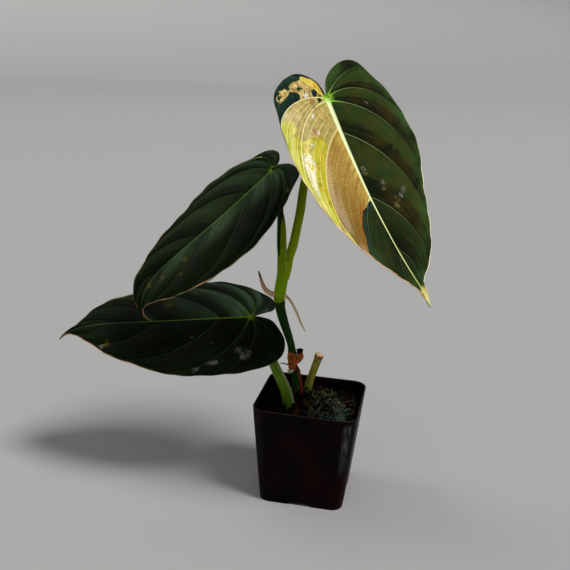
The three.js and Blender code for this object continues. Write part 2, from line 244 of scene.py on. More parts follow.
def cubic(start: np.ndarray, end: np.ndarray, leave: np.ndarray, arrive: np.ndarray,
          w: np.ndarray) -> np.ndarray:
    """Cubic from start to end, with slopes leave and arrive, at shares w."""
    bow, sag = 2 * start - 2 * end + leave + arrive, 3 * end - 3 * start - 2 * leave - arrive
    return bow * w**3 + sag * w**2 + leave * w + start


def running_length(points: np.ndarray) -> np.ndarray:
    """Length of a row of points up to each of them."""
    return np.concatenate([[0], np.cumsum(np.linalg.norm(np.diff(points, axis=0), axis=1))])


def read_off(place: np.ndarray, knots: np.ndarray, row: np.ndarray) -> np.ndarray:
    """Points at places along a row of points that stands at the knots."""
    return np.stack([np.interp(place, knots, column) for column in row.T], -1)


def grid_triangles(rows: int, columns: int, ring: bool = False) -> np.ndarray:
    """Two triangles for each cell of a grid of points kept row by row, its last column followed by the
    first if it is a ring.

    Args:
        rows, columns: Counts of points each way.
        ring: Whether each row closes on itself.

    Returns:
        Three point numbers for each triangle.
    """
    i, j = np.meshgrid(np.arange(rows - 1), np.arange(columns if ring else columns - 1), indexing="ij")
    a, b = i * columns + j, i * columns + (j + 1) % columns
    halves = [np.stack([a, b, b + columns], -1), np.stack([a, b + columns, a + columns], -1)]
    return np.concatenate([half.reshape(-1, 3) for half in halves])


def repeated(faces: np.ndarray, count: int, size: int) -> np.ndarray:
    """Faces of a small shape of size points, for count copies of it in a row."""
    return (faces[None] + (np.arange(count) * size)[:, None, None]).reshape(-1, 3)


def gathered(shells: Sequence[Shell]) -> Shell:
    """Several shells with the same values as one.

    Args:
        shells: Shells that keep the same values.

    Returns:
        One shell with all their points.
    """
    starts = np.cumsum([0] + [len(shell.points) for shell in shells])
    return Shell(
        np.concatenate([shell.points for shell in shells]),
        np.concatenate([shell.triangles + start for shell, start in zip(shells, starts)]),
        {name: np.concatenate([shell.values[name] for shell in shells]) for name in shells[0].values},
    )


def welded(shell: Shell, reach: float = 1e-5) -> Shell:
    """Joins the points that coincide, with the mean of their values, and drops triangles that vanish.

    Args:
        shell: Shell with doubled points.
        reach: Millimetres within which places count as one.

    Returns:
        Shell with each place once.
    """
    keys = np.round(shell.points / reach).astype(np.int64)
    _, first, inverse = np.unique(keys, axis=0, return_index=True, return_inverse=True)
    inverse = inverse.reshape(-1)
    share = 1 / np.bincount(inverse)
    values = {}
    for name, given in shell.values.items():
        mean = [np.bincount(inverse, column) * share for column in given.reshape(len(given), -1).T]
        values[name] = np.stack(mean, -1).reshape(len(first), *given.shape[1:])
    triangles = inverse[shell.triangles]
    a, b, c = triangles.T
    return Shell(shell.points[first], triangles[(a != b) & (b != c) & (c != a)], values)


def tube(rings: np.ndarray, inward: bool = False, **values: np.ndarray) -> Shell:
    """Closed surface through rings of points, with each end ring drawn in to its middle.

    Args:
        rings: Points by ring, by place on the ring, by axis.
        inward: Whether the rings' turning sense faces inwards, so that the triangles are turned round.
        values: Numbers or vectors at each point of the rings.

    Returns:
        The welded shell.
    """
    ends = [np.broadcast_to(rings[k].mean(axis=0), (1, *rings.shape[1:])) for k in (0, -1)]
    points = np.concatenate([ends[0], rings, ends[1]])
    kept = {name: np.concatenate([given[:1], given, given[-1:]]) for name, given in values.items()}
    triangles = grid_triangles(len(points), rings.shape[1], ring=True)
    count = points.shape[0] * points.shape[1]
    flat = {name: given.reshape(count, *given.shape[2:]) for name, given in kept.items()}
    return welded(Shell(points.reshape(-1, 3), triangles[:, ::-1] if inward else triangles, flat))


def point_normals(points: np.ndarray, triangles: np.ndarray) -> np.ndarray:
    """Direction of the surface at each point: the sum of its triangles' normals, by area.

    Args:
        points: Places of the points.
        triangles: Three point numbers each.

    Returns:
        Unit vectors, one for each point.
    """
    a, b, c = (points[corner] for corner in triangles.T)
    weights = np.tile(np.cross(b - a, c - a), (3, 1)).T
    corners = triangles.T.reshape(-1)
    return unit(np.stack([np.bincount(corners, weight, len(points)) for weight in weights], -1))


def free_edges(triangles: np.ndarray, count: int) -> np.ndarray:
    """Edges that only one triangle has, in its own turning sense.

    Args:
        triangles: Three point numbers each.
        count: How many points there are.

    Returns:
        Two point numbers for each free edge.
    """
    edges = np.concatenate([triangles[:, [0, 1]], triangles[:, [1, 2]], triangles[:, [2, 0]]])
    there, back = edges @ (count, 1), edges @ (1, count)
    return edges[~np.isin(there, back)]


def lattice_noise(x: np.ndarray, y: np.ndarray, size: float, seed: int) -> np.ndarray:
    """Smooth noise from -1 to 1: random heights on a square lattice, with smooth steps between them.

    Args:
        x, y: Places in millimetres.
        size: Width of a square of the lattice.
        seed: Seed of the random heights.

    Returns:
        Noise at each place.
    """
    heights = np.random.default_rng(seed).uniform(-1, 1, (64, 64))
    u, v = x / size, y / size
    i, j = np.floor(u).astype(int), np.floor(v).astype(int)
    fu, fv = smooth_step(u - i, 0, 1), smooth_step(v - j, 0, 1)
    low, high = (
        heights[(i + p) % 64, j % 64] * (1 - fv) + heights[(i + p) % 64, (j + 1) % 64] * fv for p in (0, 1)
    )
    return low * (1 - fu) + high * fu


def add_object(name: str, data: bpy.types.ID) -> bpy.types.Object:
    """Puts a mesh, lamp or camera into the scene.

    Args:
        name: Name of the object.
        data: Its mesh, lamp or camera data.

    Returns:
        The new object.
    """
    made = bpy.data.objects.new(name, data)
    bpy.context.scene.collection.objects.link(made)
    return made


def add_piece(name: str, shell: Shell, material: bpy.types.Material, slot: str, *stands_for: str) -> None:
    """Makes a piece of the plant that rides on its one body.

    Args:
        name: Name of the piece.
        shell: Its closed surface, in millimetres.
        material: Its finish.
        slot: The record's slot for that finish; not used.
        stands_for: Nodes of the frame that it replaces.
    """
    mesh = bpy.data.meshes.new(name)
    faces = len(shell.triangles)
    mesh.vertices.add(len(shell.points))
    mesh.vertices.foreach_set("co", (shell.points * MM).astype(np.float32).reshape(-1))
    mesh.loops.add(3 * faces)
    mesh.loops.foreach_set("vertex_index", shell.triangles.astype(np.int32).reshape(-1))
    mesh.polygons.add(faces)
    mesh.polygons.foreach_set("loop_start", np.arange(0, 3 * faces, 3, dtype=np.int32))
    mesh.polygons.foreach_set("use_smooth", np.ones(faces, bool))
    mesh.update(calc_edges=True)
    for value_name, given in shell.values.items():
        kind, key = ("FLOAT", "value") if given.ndim == 1 else ("FLOAT_VECTOR", "vector")
        attribute = mesh.attributes.new(value_name, kind, "POINT")
        attribute.data.foreach_set(key, given.astype(np.float32).reshape(-1))
    mesh.materials.append(material)
    piece = add_object(name, mesh)
    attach(piece, "root")
    if stands_for:
        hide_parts(*stands_for)
    log.info("%s: %d triangles", name, faces)


# Leaves

VEIN_LEAVE = 0.42
VEIN_ARRIVE = 0.33
VEIN_COUNT = 7
LOBE_VEINS = 3
FIELD_REACH = 4.0


def curve_through(points: np.ndarray, share: np.ndarray) -> np.ndarray:
    """Uniform Catmull-Rom curve through points at shares of its knots: a cubic between neighbours whose
    slopes are half the way from the point before to the point after, with the end points doubled.

    Args:
        points: Knots of the curve.
        share: Shares of the way, 0 to 1.

    Returns:
        A point for each share.
    """
    last = len(points) - 1
    before = np.minimum((share * last).astype(int), last - 1)
    p0, p1, p2, p3 = (points[np.clip(before + k, 0, last)] for k in (-1, 0, 1, 2))
    return cubic(p1, p2, (p2 - p0) / 2, (p3 - p1) / 2, (share * last - before)[:, None])


def line_distance(places: np.ndarray, starts: np.ndarray, steps: np.ndarray) -> np.ndarray:
    """Least distance of flat places to straight lines, each from a start over a step.

    Args:
        places: Flat places.
        starts: Where each line starts.
        steps: From each start to its line's end.

    Returns:
        One distance for each place.
    """
    nearest = np.full(len(places), np.inf)
    for start, step in zip(starts, steps):
        share = np.clip((places - start) @ step / max(step @ step, 1e-9), 0, 1)
        nearest = np.minimum(nearest, np.linalg.norm(places - start - share[:, None] * step, axis=1))
    return nearest


def inside_distance(places: np.ndarray, outline: Outline) -> np.ndarray:
    """Distance of flat places to a closed outline, above zero inside it, held to FIELD_REACH. A place is
    inside if a level line from it crosses the outline an odd number of times.

    Args:
        places: Flat places.
        outline: Corners of the closed outline.

    Returns:
        One signed distance for each place.
    """
    start = np.asarray(outline, float)
    step = np.roll(start, -1, axis=0) - start
    (ax, ay), (sx, sy) = start.T[..., None], step.T[..., None]
    x, y = places.T
    spans = (ay > y) != (ay + sy > y)
    crossings = (spans & (x < ax + (y - ay) * sx / np.where(sy == 0, 1e-9, sy))).sum(axis=0)
    return np.where(crossings % 2 == 1, 1, -1) * np.minimum(line_distance(places, start, step), FIELD_REACH)


class Half(Enum):
    """Halves of a blade seen from above with the tip away, as the sign of their distance across."""

    LEFT = 1
    RIGHT = -1


@dataclass(frozen=True)
class Veins:
    """Main veins of one half: their starts on the midrib and ends on the margin, as shares of each, and
    the angles in degrees at which they leave. The first and last are the back and front of the midrib."""

    start: tuple[float, ...] = (0, 0, 0, 0.01, 0.16, 0.47, 0.72, 1)
    angle: tuple[float, ...] = (180, 142, 112, 72, 52, 46, 38, 0)
    end: tuple[float, ...] = (0, 0.23, 0.43, 0.63, 0.8, 0.89, 0.945, 1)


@dataclass(frozen=True)
class Blade:
    """A heart-shaped blade on a bent midrib.

    The midrib's heading and droop are base + slope u + bow u^2 degrees, u its share, with tip_curl u^8
    more droop. fold is the fall of each half in degrees, as base + slope d / 100, d the distance out.
    left and right are the margins' outlines (along, out). regions are coloured outlines on the right
    half, each with its value over the left half. Marks are spots (along, across, radius).
    """

    node: str
    piece: str
    slot: str
    length: float
    sinus: Place
    heading: Place
    droop: Place
    tip_curl: float
    roll: float
    fold: tuple[float, float]
    left: Outline
    right: Outline
    left_veins: Veins = Veins()
    right_veins: Veins = Veins()
    regions: tuple[tuple[str, float, Outline], ...] = ()
    pale_marks: tuple[Place, ...] = ()
    gold_marks: tuple[Place, ...] = ()
    dark_marks: tuple[Place, ...] = ()
    rows_per_vein: int = 24
    columns: int = 56
    midrib_steps: int = 240
    margin_steps: int = 1600
    thickness: float = 0.6
    rib_depth: float = 1.8
    rib_spread: float = 1.5
    vein_depth: float = 0.45
    vein_spread: float = 0.6
    quilt: float = 1.15
    fine_quilt: float = 0.09
    swell: float = 0.8
    groove: float = 0.22
    groove_width: float = 0.5
    groove_from: tuple[float, float] = (2, 5)
    rib_dip: float = 0.35
    rib_dip_width: float = 1.7
    rib_crest: float = 0.3
    rib_crest_width: float = 0.7
    wave: float = 0.35
    wave_length: float = 15.0
    wave_skew: float = 0.4
    wave_reach: float = 9.0
    wave_from: tuple[float, float] = (4, 12)
    rim_bulge: float = 0.16
    rim_thinning: float = 0.45
    rim_width: float = 1.2

    def bends(self, u: np.ndarray) -> tuple[np.ndarray, np.ndarray, np.ndarray]:
        """Directions along, across and out of the blade at shares u of the midrib.

        Args:
            u: Shares of the midrib.

        Returns:
            Three rows of unit vectors.
        """
        heading, droop = (np.radians(c[0] + c[1] * u + c[2] * u * u) for c in (self.heading, self.droop))
        droop = droop + np.radians(self.tip_curl) * u**8
        roll = math.radians(self.roll)
        ahead = np.stack(
            [np.cos(droop) * np.cos(heading), np.cos(droop) * np.sin(heading), -np.sin(droop)], -1)
        level = np.stack([-np.sin(heading), np.cos(heading), 0 * heading], -1)
        across = math.cos(roll) * level + math.sin(roll) * np.cross(ahead, level)
        return ahead, across, np.cross(ahead, across)

    def seat(self, depth: float) -> tuple[Place, Place]:
        """Point depth under the sinus, where the petiole ends, and the direction that it ends in."""
        out = self.bends(np.zeros(1))[2][0]
        return tuple(np.array(self.sinus) - out * depth), tuple(out)

    def place(self, flat: np.ndarray, half: Half, lift: np.ndarray) -> np.ndarray:
        """Points of the bent blade for flat places (along, out): the midrib's point, found by summing
        short steps, plus out across the half as it falls by its fold, plus lift out of the blade.

        Args:
            flat: Flat places.
            half: Half that they lie on.
            lift: Height over the blade at each.

        Returns:
            Points in millimetres.
        """
        along, out = flat.T
        u = np.clip(along / self.length, 0, 1)
        knots = np.linspace(0, 1, self.midrib_steps + 1)
        steps = self.bends((knots[1:] + knots[:-1]) / 2)[0] * self.length / self.midrib_steps
        midrib = np.vstack([np.zeros(3), np.cumsum(steps, axis=0)]) + self.sinus
        ahead, across, above = self.bends(u)
        fall = np.radians(self.fold[0] + self.fold[1] * out / 100)
        point = read_off(u, knots, midrib) + np.minimum(along, 0)[:, None] * ahead
        point = point + (half.value * out * np.cos(fall))[:, None] * across
        return point + (lift - out * np.sin(fall))[:, None] * above

    def side(self, half: Half) -> tuple[np.ndarray, Veins]:
        """Margin of a half, as a fine row of flat places from the sinus to the tip, and its veins.

        Args:
            half: Half of the blade.

        Returns:
            The margin's places, and the half's veins.
        """
        left = half is Half.LEFT
        outline, veins = (self.left, self.left_veins) if left else (self.right, self.right_veins)
        return curve_through(np.array(outline), np.linspace(0, 1, self.margin_steps + 1)), veins

    def vein_paths(self, phase: np.ndarray, t: np.ndarray, half: Half) -> np.ndarray:
        """Flat places at shares t of the lines between veins: cubic Bezier curves from the midrib, at the
        vein's own angle, to the margin, which they meet along it. Whole phases are the main veins.

        Args:
            phase: Vein number of each line.
            t: Shares of the way to the margin.
            half: Half that they lie on.

        Returns:
            Flat places by line and share.
        """
        edge, veins = self.side(half)
        reach = running_length(edge)
        reach = reach / reach[-1]
        knots = np.arange(VEIN_COUNT + 1)
        begin, angle, finish = (np.interp(phase, knots, row) for row in (veins.start, veins.angle, veins.end))
        angle = np.radians(angle)
        meet, ahead, behind = (
            read_off(np.clip(finish + shift, 0, 1), reach, edge) for shift in (0, 1e-3, -1e-3))
        start = np.stack([begin * self.length, 0 * begin], -1)
        chord = np.linalg.norm(meet - start, axis=1)[:, None]
        leave = start + VEIN_LEAVE * chord * np.stack([np.cos(angle), np.sin(angle)], -1)
        arrive = meet - VEIN_ARRIVE * chord * unit(ahead - behind)
        w = t[None, :, None]
        shares = ((1 - w) ** 3, 3 * w * (1 - w) ** 2, 3 * w * w * (1 - w), w**3)
        return sum(share * point[:, None, :] for share, point in zip(shares, (start, leave, arrive, meet)))

    def phases(self, half: Half) -> np.ndarray:
        """Phases of a half's rows. Past the lobe they leave the midrib at stations that both halves share:
        even steps between the left veins, and the right veins' own starts.

        Args:
            half: Half of the blade.

        Returns:
            Rising phases, 0 to VEIN_COUNT.
        """
        knots = np.arange(VEIN_COUNT + 1)
        even = np.linspace(0, VEIN_COUNT, VEIN_COUNT * self.rows_per_vein + 1)
        shared = np.interp(even[even > LOBE_VEINS], knots, self.left_veins.start)
        shared = np.concatenate([shared, self.right_veins.start[LOBE_VEINS + 1:]])
        start = self.side(half)[1].start[LOBE_VEINS:]
        past = np.interp(np.unique(np.round(shared, 9)), start, knots[LOBE_VEINS:])
        return np.concatenate([even[even <= LOBE_VEINS], past])

    def half_sheet(self, half: Half) -> Shell:
        """Upper face of one half with the values that the finish reads. The face is lifted by quilting
        between the veins, by grooves on them and on the midrib, and by a slow wave near the margin.

        Args:
            half: Half of the blade.

        Returns:
            Open sheet with its values.
        """
        phase = self.phases(half)
        even = np.linspace(0, 1, self.columns + 1)
        run = (even + 0.5 - 0.5 * np.cos(np.pi * even)) / 2
        paths = self.vein_paths(phase, run, half)
        flow = unit(np.gradient(paths, axis=1))
        spread = np.gradient(paths, phase, axis=0)
        gap = np.abs(flow[..., 0] * spread[..., 1] - flow[..., 1] * spread[..., 0]).reshape(-1)
        phase, run = (grid.reshape(-1) for grid in np.meshgrid(phase, run, indexing="ij"))
        flat = paths.reshape(-1, 2)
        along, out = flat.T
        rib = np.hypot(np.minimum(along, 0), out)
        margin = self.side(half)[0][::8]
        edge = line_distance(flat, margin[:-1], np.diff(margin, axis=0))
        quilt = (self.quilt * np.abs(np.sin(np.pi * phase))
                 + self.fine_quilt * np.abs(np.sin(4 * np.pi * phase)))
        to_vein = np.abs(phase - np.round(phase)) * gap
        wave = np.sin(2 * np.pi * (along - self.wave_skew * out) / self.wave_length + half.value)
        lift = (
            quilt * np.sin(np.pi * run**self.swell)
            - self.groove * bell(to_vein, self.groove_width) * (1 - run) * smooth_step(rib, *self.groove_from)
            - self.rib_dip * bell(rib, self.rib_dip_width) + self.rib_crest * bell(rib, self.rib_crest_width)
            + self.wave * wave * smooth_step(-edge, -self.wave_reach, 0) * smooth_step(rib, *self.wave_from)
        )
        values = {
            "phase": phase, "gap": gap, "run": run, "rib": rib, "edge": edge, "along": along,
            "flat": np.stack([along, half.value * out, 0 * out], -1) * MM,
            "pale_mark": self.mark_field(flat, half, self.pale_marks),
            "gold_mark": self.mark_field(flat, half, self.gold_marks),
            "dark_mark": self.mark_field(flat, half, self.dark_marks),
        }
        for name, over_left, outline in self.regions:
            values[name] = (inside_distance(flat, outline) if half is Half.RIGHT
                            else np.full(len(flat), over_left * FIELD_REACH))
        triangles = grid_triangles(*paths.shape[:2])[:, ::-half.value]
        return Shell(self.place(flat, half, lift), triangles, values)

    def mark_field(self, flat: np.ndarray, half: Half, marks: Sequence[Place]) -> np.ndarray:
        """One at the middle of each mark on this half, falling evenly to zero at its radius.

        Args:
            flat: Flat places.
            half: Half that they lie on.
            marks: Rows of along, across and radius.

        Returns:
            A number for each place.
        """
        total = np.zeros(len(flat))
        for along, across, radius in marks:
            if across * half.value > 0:
                total = np.maximum(total, 1 - np.linalg.norm(flat - (along, abs(across)), axis=1) / radius)
        return total

    def shell(self) -> Shell:
        """The whole blade: both halves joined along the midrib, the lower face under them at the blade's
        thickness plus the ridges of the midrib and the main veins, and a rounded rim.

        Returns:
            Closed surface with its values.
        """
        sheet = welded(gathered([self.half_sheet(half) for half in Half]))
        out = point_normals(sheet.points, sheet.triangles)
        values = sheet.values
        to_vein = np.abs(values["phase"] - np.round(values["phase"])) * values["gap"]
        ahead = np.clip(1 - values["along"] / self.length, 0, 1)
        ridge = self.rib_depth * ahead * bell(values["rib"], self.rib_spread)
        vein = self.vein_depth * (1 - values["run"]) * bell(to_vein, self.vein_spread)
        thin = 1 - self.rim_thinning * np.exp(-values["edge"] / self.rim_width)
        lower = sheet.points - out * (self.thickness * thin + np.maximum(ridge, vein))[:, None]
        count = len(sheet.points)
        edges = free_edges(sheet.triangles, count)
        start, end = edges.T
        away = np.cross(sheet.points[end] - sheet.points[start], out[start] + out[end])
        rim = np.unique(edges)
        number = np.full(count, -1)
        number[rim] = np.arange(len(rim))
        outward = unit(np.stack([
            np.bincount(number[edges.T.reshape(-1)], np.tile(part, 2), len(rim)) for part in away.T
        ], -1))
        middle = (sheet.points + lower)[rim] / 2 + outward * self.rim_bulge
        a, b = number[start] + 2 * count, number[end] + 2 * count
        bands = [np.stack(corners, -1) for corners in (
            (end, start, a), (end, a, b), (b, a, start + count), (b, start + count, end + count))]
        values = {name: np.concatenate([given, given, given[rim]]) for name, given in values.items()}
        values["under"] = np.repeat([0, 1, 0.5], [count, count, len(rim)])
        return Shell(
            np.concatenate([sheet.points, lower, middle]),
            np.concatenate([sheet.triangles, sheet.triangles[:, ::-1] + count, *bands]),
            values,
        )


DISTAL_LINE = ((64, 3.6), (67, 8), (69, 13), (73, 17), (78, 21), (84, 22.5), (88, 25), (92.5, 27))
FOURTH_VEIN = ((29, 16), (40, 24), (55, 29.5), (70, 32), (82, 30.5), (92.5, 27))

VARIEGATED_LEAF = Blade(
    node="leaf_variegated",
    piece="variegated_blade",
    slot="variegated_blade",
    length=130,
    sinus=(-1.4, -4, 244.4),
    heading=(-34.7, 4.1, 12.1),
    droop=(55.6, -2.1, -7.5),
    tip_curl=8,
    roll=14,
    fold=(-20, 30),
    left=((0, 0), (-11.5, 4), (-18.5, 14), (-18, 24), (-9, 31.5), (12, 41.5), (39, 45),
          (65, 36), (90, 26.5), (106, 16), (116, 4.5), (123, 2), (130, 0)),
    right=((0, 0), (-8, 3), (-14, 10), (-14, 22), (-5, 35.5), (12, 39.5), (38, 41.5),
           (69, 37), (92, 27), (107, 16), (114, 9), (120, 4), (130, 0)),
    left_veins=Veins(
        angle=(180, 142, 118, 73, 54, 48, 38, 0),
        end=(0, 0.23, 0.42, 0.615, 0.79, 0.9, 0.95, 1)),
    right_veins=Veins(
        start=(0, 0, 0, 0.01, 0.14, 0.47, 0.74, 1),
        angle=(180, 135, 97, 80, 62, 54, 45, 0),
        end=(0, 0.18, 0.36, 0.6, 0.765, 0.85, 0.92, 1)),
    regions=(
        ("distal", 1, (*DISTAL_LINE, (100, 45), (140, 30), (140, -5), (64, -5))),
        ("lime", -1, (
            (11.4, 60), (11.4, 33.5), (15.5, 32.3), (23, 33.7), (24.4, 30.7), (24, 25.7), (24, 17.5),
            *FOURTH_VEIN, (110, 30), (80, 60))),
        ("tongue", -1, (
            (1.6, 42), (1.9, 37.3), (1.4, 33.9), (-1.4, 29.7), (-3.9, 25.8), (-3.4, 22.4), (-1, 21), (13, 30),
            (14, 37), (12.5, 42))),
        ("lobe_inner", -1, (
            (2.2, 38.4), (-0.6, 37.6), (-3.2, 35.4), (-5.2, 32), (-7.4, 27.4), (-9.6, 23.2), (-10.6, 19),
            (-12, 16), (-13.2, 12.4), (-10.4, 6.5), (-6, 3), (0, 0), (6, 8), (6, 30))),
        ("lobe_gold", -1, (
            (-13.6, 15.6), (-12.4, 10.6), (-9.6, 6.5), (-6.3, 3.6), (-2.2, 1.8), (-2.6, 4.4), (-5.2, 7.8),
            (-8.2, 11), (-10.8, 15))),
        # Glossy patch, which also carries a painted white glare.
        ("gloss", -1, (
            (31, 35), (32.4, 31), (37.3, 29.6), (41.5, 31.6), (45.6, 34.2), (56.5, 36.8), (56, 38),
            (50.8, 37.8), (42.7, 37.2), (35.1, 36.6))),
    ),
    gold_marks=(
        (48, 3.6, 2.2), (59.5, 9.4, 1.8), (68.6, 14.4, 3), (71.4, 12.4, 2.2), (20.5, -20.8, 3.4),
        (2.6, -14.2, 4.2), (6, -13.4, 2.6), (-8.6, -14.4, 3), (75, -33.5, 3)),
    pale_marks=(
        (21.5, -19.2, 1.9), (10.5, -17.4, 1.7), (-1.4, -15.9, 2.4), (28, -26.8, 1.6), (75, -35.6, 2.4),
        (45.4, 3, 2.4), (56.5, 10.7, 2.4), (64.5, 20, 2.8), (66.5, 16.6, 2.2), (9, 21, 1.2), (40, 26, 1.2)),
    dark_marks=(
        (-2.8, -9.4, 2.6), (1.2, -7.4, 2.2), (-5.2, -20.4, 1.5), (-1.5, -34.4, 1.3), (-6.6, -27.4, 1.8)),
)

MIDDLE_LEAF = Blade(
    node="leaf_middle",
    piece="middle_blade",
    slot="dark_blade",
    length=124.5,
    sinus=(-29.6, -8, 203.2),
    heading=(200.3, 2.4, 1.6),
    droop=(45.1, -5.1, -5.2),
    tip_curl=130,
    roll=-28,
    fold=(-6, 30),
    left=((0, 0), (-8.5, 8), (-9, 19), (2.5, 24.5), (13, 29.5), (38, 34.3), (68, 31.3),
          (90, 24), (103, 14), (112, 4.5), (117, 1.6), (124.5, 0)),
    right=((0, 0), (-6, 1), (-9.2, 7.5), (-4, 16), (16, 25.5), (38, 31.5), (58, 26),
           (80, 20), (95, 13.5), (107, 9), (113, 4.5), (117, 1.6), (124.5, 0)),
    gold_marks=((98.5, 1.8, 3), (72, 8, 2.2), (78, 16, 2.4), (88, 8, 2.4)),
    pale_marks=((1.9, 22, 1.6), (52, 12, 1)),
)

LOWER_LEAF = Blade(
    node="leaf_lower",
    piece="lower_blade",
    slot="dark_blade",
    length=123.5,
    sinus=(-39.6, -2, 111),
    heading=(190.2, 0, -2),
    droop=(5.2, 6.7, -11.4),
    tip_curl=50,
    roll=-32,
    fold=(4, 20),
    left=((0, 0), (-8, 1.5), (-15, 7), (-20, 19), (-16.5, 29.5), (-1, 36), (17, 38),
          (47, 37), (73, 28.5), (88, 22), (102.5, 11.5), (112, 4), (117, 1.4), (123.5, 0)),
    right=((0, 0), (-6, 2), (-12.5, 4.5), (-14, 9), (-10.3, 18.5), (10, 33.5), (27, 38.5),
           (50, 36), (77, 27), (90, 23), (99, 17), (106, 8.7), (111, 3.6), (117, 1.4), (123.5, 0)),
    gold_marks=((52.8, -13.4, 5), (89, 14.7, 3.4), (77.5, -21.5, 1.6)),
    pale_marks=(
        (4.5, 26, 5.6), (7.5, 24, 3.4), (22.5, 31, 2.6), (25.6, 30.6, 2.2), (33.9, 34.4, 2.6), (37, 13, 1.3),
        (24, 18, 1.3), (92, 16, 2.4), (31, -27, 1.6), (35.5, -22.5, 1.4)),
)


@dataclass(frozen=True)
class BladeLook:
    """Colours of a blade's velvet skin, and how far and how strongly its veins, rim, rust, painted shade and
    painted sheen show.
    """

    name: str
    deep: Tone
    fresh: Tone
    olive: Tone
    rust: Tone
    cool: Tone
    painted_sheen: Tone
    vein: Tone
    midrib: Tone
    far_midrib: Tone
    hub: Tone
    margin: Tone
    far_margin: Tone
    tip: Tone
    under: Tone
    under_vein: Tone
    length: float
    tip_length: float
    vein_strength: float
    rust_strength: float
    rib_width: float
    rim_width: float
    # The near shade is a painted shade over the nearer half, and the glow tone with its near and far
    # strengths is a painted sheen.
    near_painted_shade: float = 0.0
    near_painted_sheen: float = 0.0
    far_painted_sheen: float = 0.0
    far_vein: float = 0.0
    dark_from: float = 0.2
    rim_from: float = 0.35
    grainy: float = 0.3
    hub_reach: float = 4.0
    roughness: float = 0.6
    shine: float = 0.2
    shine_tint: Tone = (0.75, 1.0, 0.6, 1)
    gold: Tone = tone(132, 106, 36)
    gold_strength: float = 0.3
    pale: Tone = tone(150, 156, 140)
    pale_strength: float = 0.55
    variegated: bool = False


